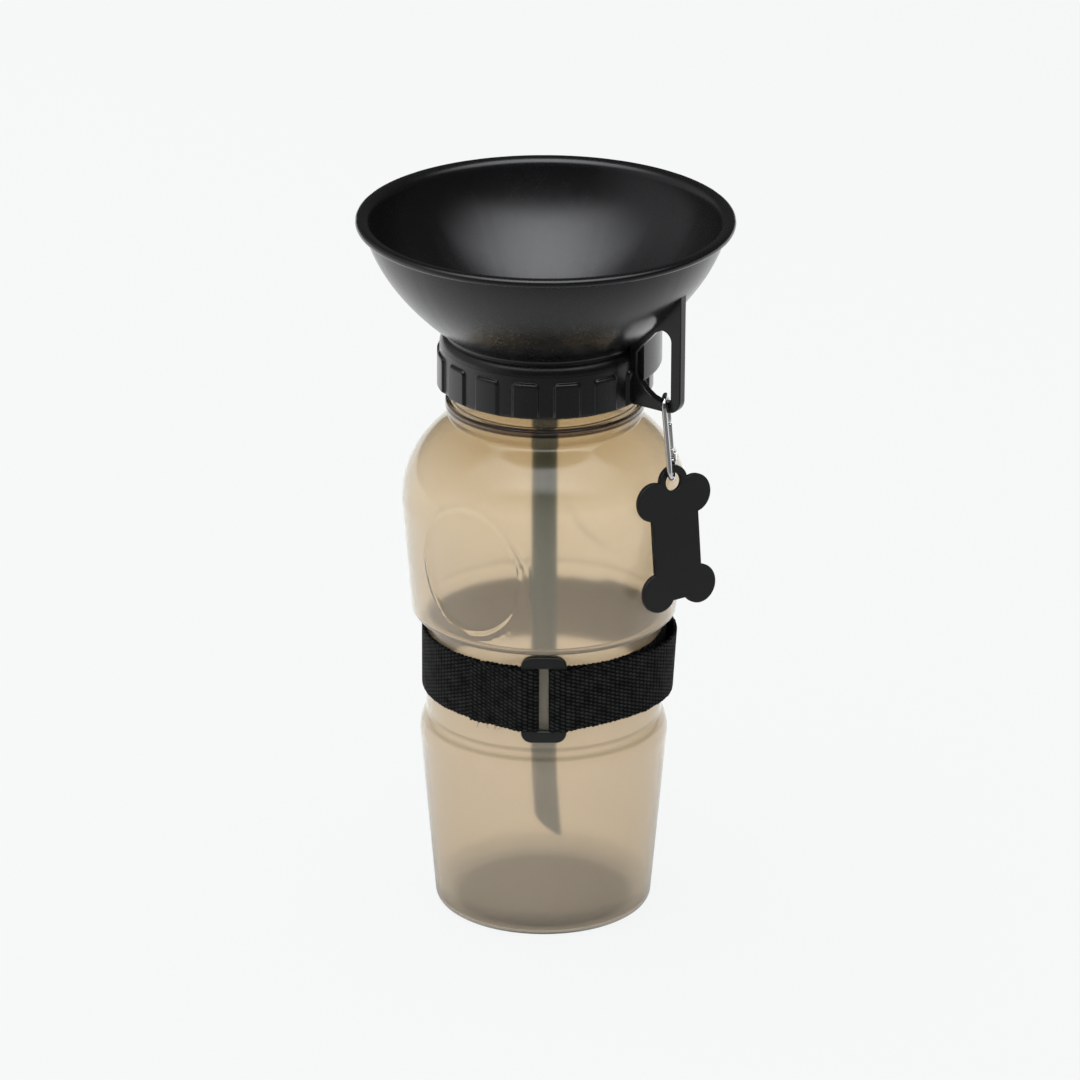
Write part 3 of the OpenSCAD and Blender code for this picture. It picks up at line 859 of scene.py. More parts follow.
class Mesher:
    """Puts finished shells into the scene and keeps each material once."""

    def __init__(self) -> None:
        """Starts with no materials."""
        self.materials: dict[str, bpy.types.Material] = {}

    def finish(self, finish: Finish) -> bpy.types.Material:
        """The material of a finish, built at its first use.

        Args:
            finish: The finish.

        Returns:
            Its material.
        """
        if finish.name not in self.materials:
            self.materials[finish.name] = finish.material()
        return self.materials[finish.name]

    def piece(
        self,
        name: str,
        shells: list[Shell],
        finish: Finish,
        body: str,
        slot: str,
        nodes: tuple[str, ...],
        sharp: float = 40.0,
        flat: bool = False,
    ) -> None:
        """Makes one object, rides it on its body and lets it stand for CAD nodes.

        Args:
            name: The piece's name.
            shells: Its closed shells, in millimetres.
            finish: The finish that it wears.
            body: The CAD body that it moves with.
            slot: The name of a material slot; not used.
            nodes: The CAD nodes that it stands for.
            sharp: Edges that turn by more than this, in degrees, stay sharp.
            flat: Whether large flat faces set the shading.
        """
        shell = join([s.outward() for s in shells])
        mesh = bpy.data.meshes.new(name)
        mesh.vertices.add(len(shell.points))
        mesh.vertices.foreach_set("co", (shell.points * MM).astype(np.float32).ravel())
        mesh.loops.add(shell.tris.size)
        mesh.loops.foreach_set("vertex_index", shell.tris.astype(np.int32).ravel())
        mesh.polygons.add(len(shell.tris))
        mesh.polygons.foreach_set("loop_start", np.arange(0, shell.tris.size, 3, dtype=np.int32))
        mesh.update(calc_edges=True)
        mesh.uv_layers.new(name="UVMap").data.foreach_set("uv", shell.uv.astype(np.float32).ravel())
        mesh.validate()
        mesh.shade_smooth()
        mesh.set_sharp_from_angle(angle=radians(sharp))
        mesh.materials.append(self.finish(finish))
        made = bpy.data.objects.new(name, mesh)
        bpy.context.scene.collection.objects.link(made)
        if flat:
            made.modifiers.new("shading", "WEIGHTED_NORMAL").keep_sharp = True
        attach(made, body)
        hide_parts(*nodes)
        log.info("%s: %d triangles on %s", name, len(shell.tris), body)

    def dress(self, node: str, finish: Finish) -> None:
        """Gives a CAD node's material slots a finish.

        Args:
            node: The CAD node's name.
            finish: The finish that it wears.
        """
        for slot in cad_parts[node].material_slots:
            slot.material = self.finish(finish)
        log.info("%s: CAD node dressed", node)


# ---------- sub-assemblies ----------


@dataclass
class Bottle:
    """The blow-moulded body, with its waist, sunk grips, bead and thread."""

    base_r: float = 34.3
    base_round: float = 3.2
    base_push: float = 2.0
    foot_ring: float = 4.2
    lower_r: float = 39.2
    lower_h: float = 58.6
    lower_round: float = 11.6
    crease: float = 1.0
    waist_r: float = 37.2
    fillet: float = 1.5
    foot_z: float = 99.2
    foot_r: float = 41.8
    foot_round: float = 1.6
    bulb_r: float = 44.8
    bulb_z: float = 136.0
    bulb_full: float = 0.69
    shoulder_z: float = 164.0
    wall: float = 1.2
    neck_r: float = 29.3
    neck_wall: float = 1.9
    neck_top: float = 188.2
    bead_r: float = 31.2
    bead_h: float = 6.2
    pitch: float = 4.0
    turns: float = 1.25
    thread_depth: float = 0.85
    thread_drop: float = 2.4
    grip_w: float = 35.0
    grip_h: float = 41.0
    grip_z: float = 125.0
    grip_depth: float = 0.75
    sink_from: float = 1.02
    sink_to: float = 0.96
    rim_rise: float = 0.25
    rim_at: float = 1.05
    rim_spread: float = 0.036
    columns: int = 252

    def side(self, inside: float, step: float) -> Array:
        """Profile from the base to the shoulder.

        Args:
            inside: How far inside the outer surface it lies.
            step: Longest gap between its points.

        Returns:
            Radii and heights.
        """
        base = self.base_r - self.base_round
        c = self.lower_r - self.lower_round
        waist, fillet = self.waist_r + self.crease, self.waist_r + self.fillet
        apart = self.lower_round + self.crease
        turn = degrees(acos((waist - c) / apart))
        dip = self.lower_h + apart * sin(radians(turn))
        push = self.base_push + inside
        foot = (self.foot_r - self.foot_round, self.foot_z + self.foot_round)
        parts = [
            [(0.0, push), (base - self.foot_ring - 3, push), (base - self.foot_ring, inside)],
            arc((base, self.base_round), self.base_round - inside, -90, -3, 10),
            arc((c, self.lower_h), self.lower_round - inside, 0, turn, 14),
            arc((waist, dip), self.crease + inside, 180 + turn, 180, 5),
            arc((fillet, self.foot_z - self.fillet), self.fillet + inside, 180, 90, 7),
            arc(foot, self.foot_round - inside, -90, -4, 7),
        ]
        low = dense(np.concatenate(parts), step * 2.4)
        belly = dense(np.array([low[-1], (self.bulb_r - inside, self.bulb_z)]), step)
        full_z = self.bulb_z + self.bulb_full * (self.shoulder_z - self.bulb_z)
        reach = self.neck_r + 0.6
        curve = [
            (self.bulb_r, self.bulb_z),
            (self.bulb_r, full_z),
            (reach, self.shoulder_z - 2),
            (reach, self.shoulder_z),
        ]
        return np.concatenate([low, belly[1:-1], cubic(curve, int(34 / step), inside)])

    def grips(self, profile: Array, around: Array) -> Array:
        """How far the two sunk ovals and their raised rims move the wall.

        With e the distance from an oval's centre as a share of its size, the
        wall sinks by the depth as e falls from 1.02 to 0.96, and stands up by a
        narrow bell curve about e = 1.05.

        Args:
            profile: Radii and heights of the rows.
            around: Angles of the columns.

        Returns:
            The change of radius at each row and column.
        """
        across = profile[:, :1] * np.cos(around)[None]
        up = profile[:, 1:] - self.grip_z
        e = np.sqrt((across / (self.grip_w / 2)) ** 2 + (up / (self.grip_h / 2)) ** 2)
        facing = np.abs(np.sin(around))[None] > 0.5
        sink = self.grip_depth * (1 - ease(e, self.sink_to, self.sink_from))
        rim = self.rim_rise * bell(e, self.rim_at, self.rim_spread)
        return np.where(facing & (profile[:, 1:] > self.foot_z), rim - sink, 0.0)

    def thread(self, profile: Array, around: Array) -> Array:
        """The rise of the neck's helical thread.

        Args:
            profile: Radii and heights of the rows.
            around: Angles of the columns.

        Returns:
            The change of radius at each row and column.
        """
        start = self.neck_top - self.thread_drop - self.pitch * self.turns
        rise = self.thread_depth * helix(profile[:, 1], around, start, self.pitch, self.turns)
        return np.where(profile[:, :1] > self.neck_r - 0.2, rise, 0.0)

    def shell(self) -> Shell:
        """The whole wall, from the base's outer middle round the neck's lip to its inner middle.

        Columns crowd towards the grips: the angle is t + 0.3 sin 2t.

        Returns:
            The wall.
        """
        t = np.linspace(0.0, 2 * pi, self.columns + 1)
        around = t + 0.3 * np.sin(2 * t)
        neck, bore, bead = self.neck_r, self.neck_r - self.neck_wall, self.bead_r
        top, z, over = self.neck_top, self.shoulder_z, self.shoulder_z + self.bead_h
        flank = [(bead - 0.65, z + 1.5), (bead - 0.2, z + 2.3), (bead, z + 3.0), (bead, z + 4.4)]
        outer = np.concatenate(
            [
                self.side(0.0, 0.8),
                [(neck + 0.7, z + 0.35), (neck + 1.0, z + 0.9)],
                cubic(flank, 8),
                arc((bead - 0.9, over - 0.9), 0.9, 0, 80, 6),
                arc((neck + 0.8, over + 0.8), 0.8, 260, 185, 5),
                dense(np.array([(neck, over + 1.2), (neck, top - 0.5)]), 0.5),
                arc((neck - 0.5, top - 0.5), 0.5, 10, 90, 3),
            ]
        )
        inner = np.concatenate(
            [
                self.side(self.wall, 1.6),
                [(bore + 0.6, over - 0.6), (bore, over + 0.6), (bore, top - 0.5)],
                arc((bore + 0.5, top - 0.5), 0.5, 170, 90, 3),
            ]
        )
        profile = np.concatenate([outer, inner[::-1]])
        swell = self.grips(profile, around)
        swell[: len(outer)] += np.where(outer[:, 1:] > over, self.thread(outer, around), 0.0)
        return lathe(profile, around, swell)

    def build(self, mesher: Mesher) -> None:
        """Makes and dresses the bottle."""
        mesher.piece("bottle_body", [self.shell()], SMOKE, "bottle", "smoke_plastic", ("bottle",), 60.0)


@dataclass
class BowlCap:
    """Drinking bowl, ribbed screw collar, carry bracket and pad: one moulding."""

    plate_z: float = 189.7
    plate_t: float = 2.6
    bowl_h: float = 39.8
    rim_r: float = 59.0
    wall: float = 2.0
    lip: float = 1.4
    collar_h: float = 15.3
    collar_r: float = 32.95
    bore_r: float = 31.15
    shoulder: float = 4.5
    ribs: int = 16
    rib_w: float = 8.9
    rib_h: float = 12.2
    rib_depth: float = 0.9
    rib_round: float = 1.8
    pitch: float = 4.0
    turns: float = 1.25
    thread_depth: float = 0.85
    thread_start: float = 2.2
    thread_wall: float = 12.0
    outlet_r: float = 2.6
    socket_in: float = 4.05
    socket_out: float = 6.15
    socket_h: float = 13.0
    bracket_r: float = 50.6
    bracket_t: float = 3.0
    bracket_round: float = 4.6
    bar: float = 3.4
    slot_in: float = 34.75
    slot_out: float = 47.0
    slot_h: float = 23.2
    slot_round: float = 3.4
    pad_depth: float = 3.5
    pad_angle: float = 38.0
    pad_z: float = 8.1
    pad_round: float = 1.6
    curve: list[tuple[float, float]] = field(init=False)

    def __post_init__(self) -> None:
        """Works out the heights and the bowl's curve."""
        self.collar_z = self.plate_z - self.collar_h
        self.floor_z = self.plate_z + self.plate_t
        self.rim_z = self.plate_z + self.bowl_h
        self.back_r = self.collar_r - 1.0
        self.root = (self.collar_r - 1.7, self.plate_z + 3.3)
        self.curve = [
            self.root,
            (self.root[0] + 3.9, self.root[1] + 2.2),
            (self.rim_r - 6.4, self.rim_z - 20),
            (self.rim_r - 2.4, self.rim_z - 2.1),
        ]

    def profile(self) -> Array:
        """The closed line round the moulding's wall, from the outlet's top edge.

        Returns:
            Radii and heights.
        """
        z0, r, rim, bore, hole = self.collar_z, self.collar_r, self.rim_r, self.bore_r, self.outlet_r
        top, floor, rim_z, (x, root_z) = self.plate_z, self.floor_z, self.rim_z, self.root
        inner, outer, end = self.socket_in, self.socket_out, self.plate_z - self.socket_h
        ups = np.array([14, 13.4, 12.9, 12.6, 12.4, 12.2, 12.0, 11.8, 11.5, 11, 10.4, 9.8, 5, 1.1, 0.8])
        line = [
            [(hole, floor - 0.4), (x - 7, floor), (x - 4.6, floor + 0.2), (x - 2.4, floor + 0.65)],
            cubic(self.curve, 40, self.wall),
            [(rim - 3.7, rim_z - 0.7), (rim - 2.6, rim_z - 0.1)],
            arc((rim - self.lip, rim_z - self.lip), self.lip, 90, -75, 14),
            cubic(self.curve, 40)[::-1],
            arc((r - self.shoulder, root_z - self.shoulder - 0.3), self.shoulder, 52, 0, 12),
            np.stack([np.full(len(ups), r), z0 + ups], 1),
            [(r - 0.12, z0 + 0.45), (r - 0.5, z0), (bore + 0.4, z0), (bore, z0 + 0.6)],
            dense(np.array([(bore, z0 + 1.0), (bore, z0 + self.thread_wall)]), 0.6),
            [(bore, top - 0.5), (bore - 0.5, top), (outer + 0.5, top), (outer, top - 0.5)],
            [(outer, end + 0.4), (outer - 0.4, end), (inner + 0.3, end), (inner, end + 0.3)],
            [(inner, top), (hole, top), (hole, floor - 0.4)],
        ]
        return dense(np.concatenate([np.array(part, float) for part in line]), 3.0)

    def around(self) -> Array:
        """Angles of the columns, which crowd at the ribs' edges.

        Returns:
            The angles, in radians; the last closes on the first.
        """
        pitch = 2 * pi * self.collar_r / self.ribs
        half = self.rib_w / 2
        inside = np.array([half, 3.2, 2.2, 1.7, 1.3, 1.05, 0.9, 0.75, 0.6, 0.45, 0.3, 0.15, 0.0])
        right = np.concatenate([half - inside, half + np.array([0.12, 0.3, 0.7])])
        period = np.concatenate([-right[:0:-1], right])
        spots = ((np.arange(self.ribs) * pitch)[:, None] + period[None]).ravel()
        return np.append(spots, spots[0] + self.ribs * pitch) / self.collar_r

    def ribs_rise(self, profile: Array, around: Array) -> Array:
        """How far the ribs stand out.

        d is the distance inside a rib's outline, a rectangle with two round top
        corners. The rib rises over the first 0.9 mm of d and is full beyond it.

        Args:
            profile: Radii and heights of the rows.
            around: Angles of the columns.

        Returns:
            The change of radius at each row and column.
        """
        pitch = 2 * pi / self.ribs
        s = np.abs((around + pitch / 2) % pitch - pitch / 2)[None] * self.collar_r
        t = profile[:, 1:] - self.collar_z
        c = self.rib_round
        dx, dz = s - (self.rib_w / 2 - c), t - (self.rib_h - c)
        corner = c - np.hypot(np.maximum(dx, 0), np.maximum(dz, 0))
        d = np.where((dx > 0) & (dz > 0), corner, np.minimum(c - dx, c - dz))
        d = np.minimum(d, (t - 0.2) * 1.5)
        outer = (profile[:, :1] > self.collar_r - 0.6) & (t < self.rib_h + 0.2)
        return np.where(outer, self.rib_depth * ease(d, -0.05, 0.9), 0.0)

    def thread_rise(self, profile: Array, around: Array) -> Array:
        """How far the collar's inner thread stands in.

        Args:
            profile: Radii and heights of the rows.
            around: Angles of the columns.

        Returns:
            The change of radius, below 0, at each row and column.
        """
        start = self.collar_z + self.thread_start
        ridge = helix(profile[:, 1], around, start, self.pitch, self.turns)
        on_bore = np.abs(profile[:, :1] - self.bore_r) < 0.05
        wall = on_bore & (profile[:, 1:] < self.collar_z + self.thread_wall + 0.1)
        return np.where(wall, -self.thread_depth * ridge, 0.0)

    def bowl(self) -> Shell:
        """The turned moulding with its ribs and thread."""
        profile, around = self.profile(), self.around()
        return lathe(profile, around, self.ribs_rise(profile, around) + self.thread_rise(profile, around))

    def bracket(self) -> Shell:
        """The upright plate with its slot, drawn in x and z.

        Its top edge follows the middle of the bowl's wall and goes on straight
        from there to the plate's outer edge.

        Returns:
            The plate.
        """
        z0, bend, turn = self.collar_z, self.bracket_round, self.slot_round
        under = cubic(self.curve, 60, self.wall / 2)
        under = under[under[:, 0] < self.bracket_r][::-1]
        step = under[0] - under[1]
        top = under[0] + step / step[0] * (self.bracket_r - under[0][0])
        outline = np.concatenate(
            [
                [(self.back_r, z0 + 0.3)],
                arc((self.bracket_r - bend, z0 + bend), bend, -90, 0, 12),
                [top],
                under,
                [(self.back_r, self.root[1])],
            ]
        )
        low, x0, x1 = z0 + self.bar, self.slot_in, self.slot_out
        high = low + self.slot_h
        slot = np.concatenate(
            [
                [(x0, low + 7.5), (x0 + 1.4, low + 4.6), (x0 + 3.2, low + 2.5), (x0 + 5.6, low + 0.8)],
                [(x0 + 8.2, low)],
                arc((x1 - 1.4, low + 1.4), 1.4, -90, 0, 6),
                arc((x1 - turn, high - turn), turn, 0, 90, 10),
                [(x1 - turn - 2.4, high - 1.2), (x0 + 2.2, high - 6), (x0, high - 9)],
            ]
        )
        return plate(outline, [slot], self.bracket_t, 0.45).placed(turning("x", 90))

    def pad(self) -> Shell:
        """The raised pad beside the bracket: a block under the bowl, turned through its angle.

        Its outer face is at the collar's radius plus the depth times a share that
        falls to 0 in a quarter circle over the last 1.6 mm of the turn.

        Returns:
            The pad.
        """
        z0 = self.collar_z + self.pad_z
        last = self.pad_angle - np.array([2.2, 1.4, 0.8, 0.35, 0.1, 0.0])
        a = np.radians(np.concatenate([np.linspace(0, self.pad_angle - 3, 20), last]))
        left = (radians(self.pad_angle) - a) * (self.collar_r + self.pad_depth)
        share = np.sqrt(1 - (1 - np.clip(left / self.pad_round, 0, 1)) ** 2)
        out = self.back_r + 1.0 + self.pad_depth * share
        under = cubic(self.curve, 60, self.wall / 2)
        roof = np.interp(out, under[:, 0], under[:, 1])
        back, foot = np.full_like(a, self.back_r), np.full_like(a, z0)
        radii = [back, out - 0.8 * share, out - 0.24 * share, out, out, back, back]
        heights = [foot, foot, foot + 0.24, foot + 0.8, roof, 0 * a + self.root[1] + 0.5, foot]
        return capped(upright(np.stack(radii, 1), np.stack(heights, 1), a[:, None]))

    def build(self, mesher: Mesher) -> None:
        """Makes and dresses the cap.

        Args:
            mesher: What puts its pieces into the scene.
        """
        made = [self.bracket(), self.pad()]
        mesher.piece("cap_bowl", [self.bowl()], CAP_PP, "cap", "black_plastic", ("bowl_cap",), 80.0)
        mesher.piece("cap_bracket", made, CAP_PP, "cap", "black_plastic", ("bowl_cap",), 35.0, True)


@dataclass
class WaterWay:
    """The neck's seal and the dip tube."""

    seal_z: float = 188.3
    seal_t: float = 1.3
    seal_out: float = 29.2
    seal_w: float = 2.4
    tube_r: float = 4.0
    tube_wall: float = 1.0
    top_z: float = 189.5
    end_z: float = 24.5
    lean: float = 33.0
    slant: float = 42.0
    bend_z: float = 56.0
    bend: float = 1.5

    def seal(self) -> Shell:
        """A flat silicone ring with rounded edges.

        Returns:
            The ring.
        """
        ring = round_box(self.seal_w, self.seal_t, 0.4, 5)
        middle = (self.seal_out - self.seal_w / 2, self.seal_z + self.seal_t / 2)
        return lathe(np.concatenate([ring, ring[:1]]) + middle, np.linspace(0, 2 * pi, 193))

    def tube(self) -> Shell:
        """The tube, which bends a little and ends in a slanted cut.

        At share s of its length the tube's middle is at x = bend ((bend_z - z) /
        (bend_z - end_z))^2 below bend_z and 0 above. The end is cut by a plane, so
        a column at angle f is longer by r cos f times the slant's tangent.

        Returns:
            The tube.
        """
        f = np.linspace(0, 2 * pi, 49)
        f[-1] = 0.0
        s = np.concatenate([[0, 0.5], np.linspace(0.76, 1, 28)])
        share = np.concatenate([s, s[::-1], [0]])[:, None]
        sizes = (self.tube_r, self.tube_r - self.tube_wall, self.tube_r)
        radii = np.repeat(sizes, (len(s), len(s), 1))[:, None]
        end = self.end_z - radii * np.cos(f) * np.tan(radians(self.slant))
        z = self.top_z + share * (end - self.top_z)
        down = np.clip((self.bend_z - z) / (self.bend_z - self.end_z), 0, None)
        x = radii * np.cos(f) + self.bend * down**2
        return skin(np.stack([x, radii * np.sin(f), z], 2)).placed(turning("z", self.lean))

    def build(self, mesher: Mesher) -> None:
        """Makes and dresses the seal and the tube."""
        mesher.piece("silicone_seal", [self.seal()], SILICONE, "seal", "silicone", ("neck_seal",))
        mesher.piece("bent_tube", [self.tube()], TUBE_PE, "tube", "tube_plastic", ("dip_tube",), 50.0)


@dataclass
class Strap:
    """Webbing, buckle, stitches and fastening tape, drawn with the buckle towards +X."""

    web_w: float = 20.5
    web_t: float = 1.1
    z: float = 84.0
    inner_r: float = 38.05
    outer_r: float = 39.35
    fold_r: float = 1.8
    buckle_x: float = 39.85
    fold_y: float = 3.7
    corner: tuple[float, float] = (41.65, 7.3)
    flap_angle: float = 36.0
    tail_angle: float = 152.0
    patch_angle: float = 112.0
    patch_lift: float = 1.3
    patch_t: float = 0.6
    play: float = 0.1
    turn: float = -57.0
    buckle_w: float = 14.3
    buckle_t: float = 2.2
    buckle_bar: float = 4.0
    window_w: float = 6.3
    buckle_round: float = 3.4
    bulge: float = 1.7
    flare: float = 1.4
    loose_at: float = 74.0
    step: float = 0.45
    weft: float = 1.6
    wave: float = 0.2
    stitch_len: float = 1.7
    stitch_r: float = 0.22
    stitch_gap: float = 2.6
    loose_ends: tuple[float, ...] = (-18.5, -19.6, -21.4, -22.2, -26.0, -30.5)

    @property
    def touch(self) -> float:
        """Angle at which the straight stretch from the buckle meets the outer circle, in degrees."""
        x, y = self.corner
        return degrees(atan2(y, x) + acos(self.outer_r / hypot(x, y)))

    @property
    def landing(self) -> Array:
        """The point where that stretch meets the circle."""
        return self.outer_r * np.array([cos(radians(self.touch)), sin(radians(self.touch))])

    def turned(self, shell: Shell) -> Shell:
        """A shell of the strap's drawing, turned to the buckle's place on the bottle."""
        return shell.placed(turning("z", self.turn))

    def layer(self, end: float, lift_at: float) -> Array:
        """Middle line of a folded-over layer, from its end back to the buckle's window.

        Args:
            end: The layer's last angle, in degrees.
            lift_at: Angle past which it lies on the fastening tape.

        Returns:
            The line's points.
        """
        b = np.arange(end, self.touch, -1.0)
        lift = self.patch_lift * np.clip((b - lift_at + 14) / 12, 0, 1)
        bulge = self.bulge * bell(b, self.loose_at, 24) * (end > 90)
        ring = polar(self.outer_r + np.maximum(lift, bulge), np.radians(b))
        window = (self.buckle_x + self.fold_r, self.fold_y)
        return np.concatenate([ring, [self.landing, self.corner, window]])

    def fold(self) -> Array:
        """Middle line round one side of the window, from outside in."""
        b = np.radians(np.arange(70.0, -91.0, -10.0))
        return (self.buckle_x, self.fold_y) + self.fold_r * np.stack([np.sin(b), -np.cos(b)], 1)

    def line(self) -> Array:
        """The webbing's whole middle line: flap, left fold, round the waist, right fold, tail.

        Returns:
            The line's points.
        """
        flip = np.array([1.0, -1.0])
        path = [
            self.layer(self.flap_angle, 360) * flip,
            self.fold() * flip,
            polar(self.inner_r, np.radians(np.arange(-12.0, -349.0, -2.0))),
            self.fold()[::-1],
            self.layer(self.tail_angle, self.patch_angle)[::-1],
        ]
        return soften(even(np.concatenate(path), self.step), 6)

    def webbing(self) -> Shell:
        """The webbing as a flat tube carried along its line.

        The section is a rectangle with half-round edges. Its edges wave by 0.2 mm
        with the weft, the tail's upper edge leans out, and the cut ends close in
        a short round.

        Returns:
            The webbing.
        """
        path = self.line()
        left = left_of(unit(np.gradient(path, axis=0)))
        run = lengths(path)
        half, reach = self.web_t / 2, self.web_w / 2
        flat = np.linspace(-1, 1, 23) * (reach - half)
        bend = np.radians(np.array([-60.0, -30, 0, 30, 60]))
        edge, deep, rise = reach - half + half * np.cos(bend), np.full(23, half), half * np.sin(bend)
        v = np.concatenate([flat, edge, flat[::-1], -edge, flat[:1]])
        n = np.concatenate([-deep, rise, deep, -rise, [-half]])
        rng = np.random.default_rng(7)
        ragged = soften(rng.normal(0, 1, len(run))[:, None], 3)[:, 0]
        wave = self.wave * np.sin(2 * pi * run / self.weft) + self.wave * ragged
        border = ease(np.abs(v), reach - 1.4, reach) * np.sign(v)
        angle = np.degrees(np.arctan2(path[:, 1], path[:, 0]))
        outer = (run > run[-1] * 0.6) & (np.hypot(*path.T) > self.outer_r - 0.2)
        lean = self.flare * bell(angle, self.loose_at, 26) * outer
        out = n[None] * close_at_ends(run, 0.3)[:, None] + lean[:, None] * (v[None] / self.web_w + 0.2)
        if self.clockwise(path):
            out = -out
        z = self.z + v[None] + border[None] * wave[:, None]
        grid = np.concatenate([path[:, None] + left[:, None] * out[:, :, None], z[:, :, None]], 2)
        grid[:, -1] = grid[:, 0]
        uv = np.stack([run[:, None] + 0 * z, v[None] + 20 + 0 * z], 2)
        return self.turned(skin(grid, uv))

    def clockwise(self, path: Array) -> bool:
        """Whether the line's left side faces the bottle on its last stretch."""
        end, way = path[-1], path[-1] - path[-2]
        return float(way[0] * -end[1] + way[1] * end[0]) > 0

    def buckle(self) -> Shell:
        """The moulded loop.

        Returns:
            The loop.
        """
        high = self.web_w + 0.4
        outer = round_box(self.buckle_w, high + 2 * self.buckle_bar, self.buckle_round, 10)
        made = plate(outer, [round_box(self.window_w, high, 0.8, 5)], self.buckle_t, 0.6, 6)
        upright_turn = turning("z", 90) @ turning("x", 90)
        return self.turned(made.placed(upright_turn, (self.buckle_x, 0, self.z)))

    def stitches(self) -> list[Shell]:
        """Two rows of stitches through the flap.

        Returns:
            The stitches, each a short domed rod.
        """
        corner = np.array(self.corner)
        flat = self.landing - corner
        aim = atan2(flat[1], flat[0]) - pi / 2
        out = np.array([cos(aim), sin(aim), 0.0]) * (self.web_t / 2 - 0.05)
        flip = np.diag([1.0, -1.0, 1.0])
        spots, radius = domed(self.stitch_len, self.stitch_r)
        line = np.stack([0 * spots, 0 * spots, spots - self.stitch_len / 2], 1)
        stitch = rod(line, radius, (1, 0, 0), 12)
        made = []
        for share in (0.45, 0.75):
            for k in range(-3, 4):
                spot = np.append(corner + share * flat, self.z + k * self.stitch_gap) + out
                made.append(self.turned(stitch.placed(flip, flip @ spot)))
        return made

    def thread_ends(self) -> list[Shell]:
        """Loose weft threads that hang from the flap's lower edge.

        Each drifts round the bottle with the square of the share of its length, and
        stands off by sag times the sine of pi times that share.

        Returns:
            The threads.
        """
        rng = np.random.default_rng(3)
        t = np.linspace(0, 1, 14)[:, None]
        made = []
        for angle in self.loose_ends:
            reach, drift, sag = rng.uniform(1.2, 2.6), rng.uniform(-1.6, 1.6), rng.uniform(0.2, 0.9)
            b = np.radians(angle + np.degrees(drift * t**2 / 40))
            r = self.outer_r + 0.5 + sag * np.sin(pi * t)
            z = self.z - self.web_w / 2 + 0.6 - reach * t
            path = np.concatenate([r * np.cos(b), r * np.sin(b), z], 1)
            made.append(self.turned(rod(path, np.linspace(0.09, 0.05, 14), (1, 0, 0), 6)))
        return made

    def tape(self, radius: float, start: float, end: float) -> Shell:
        """A bent patch of fastening tape; its pile is in the material.

        Args:
            radius: Radius of its inner face.
            start: First angle, in degrees.
            end: Last angle.

        Returns:
            The patch.
        """
        a = np.radians(np.linspace(start, end, int((end - start) * 1.4)))[:, None]
        ring = round_box(self.patch_t, self.web_w - 2, 0.25, 3)
        ring = dense(np.concatenate([ring, ring[:1]]), 0.6) + (radius + self.patch_t / 2, self.z)
        grid = upright(ring[None, :, 0], ring[None, :, 1] + 0 * a, a)
        grid[:, -1] = grid[:, 0]
        return self.turned(capped(grid))

    def build(self, mesher: Mesher) -> None:
        """Makes and dresses the strap's pieces.

        Args:
            mesher: What puts them into the scene.
        """
        inner = self.inner_r + self.web_t / 2 + self.play
        loops = self.tape(inner, self.patch_angle - 4, self.tail_angle + 8)
        hooks = self.tape(inner + self.patch_t + self.play, self.patch_angle, self.tail_angle - 2)
        sewn = [*self.stitches(), *self.thread_ends()]
        for name, shells, finish, slot, node, *shading in (
            ("waist_webbing", [self.webbing()], WEBBING, "webbing", "strap_webbing", 70.0),
            ("loop_buckle", [self.buckle()], BUCKLE_PP, "black_plastic", "strap_buckle", 35.0, True),
            ("flap_stitches", sewn, THREAD, "thread", "strap_stitching"),
            ("loop_tape", [loops], LOOP_TAPE, "fastening_tape", "loop_patch"),
            ("hook_tape", [hooks], HOOK_TAPE, "fastening_tape", "hook_patch"),
        ):
            mesher.piece(name, shells, finish, "strap", slot, (node,), *shading)


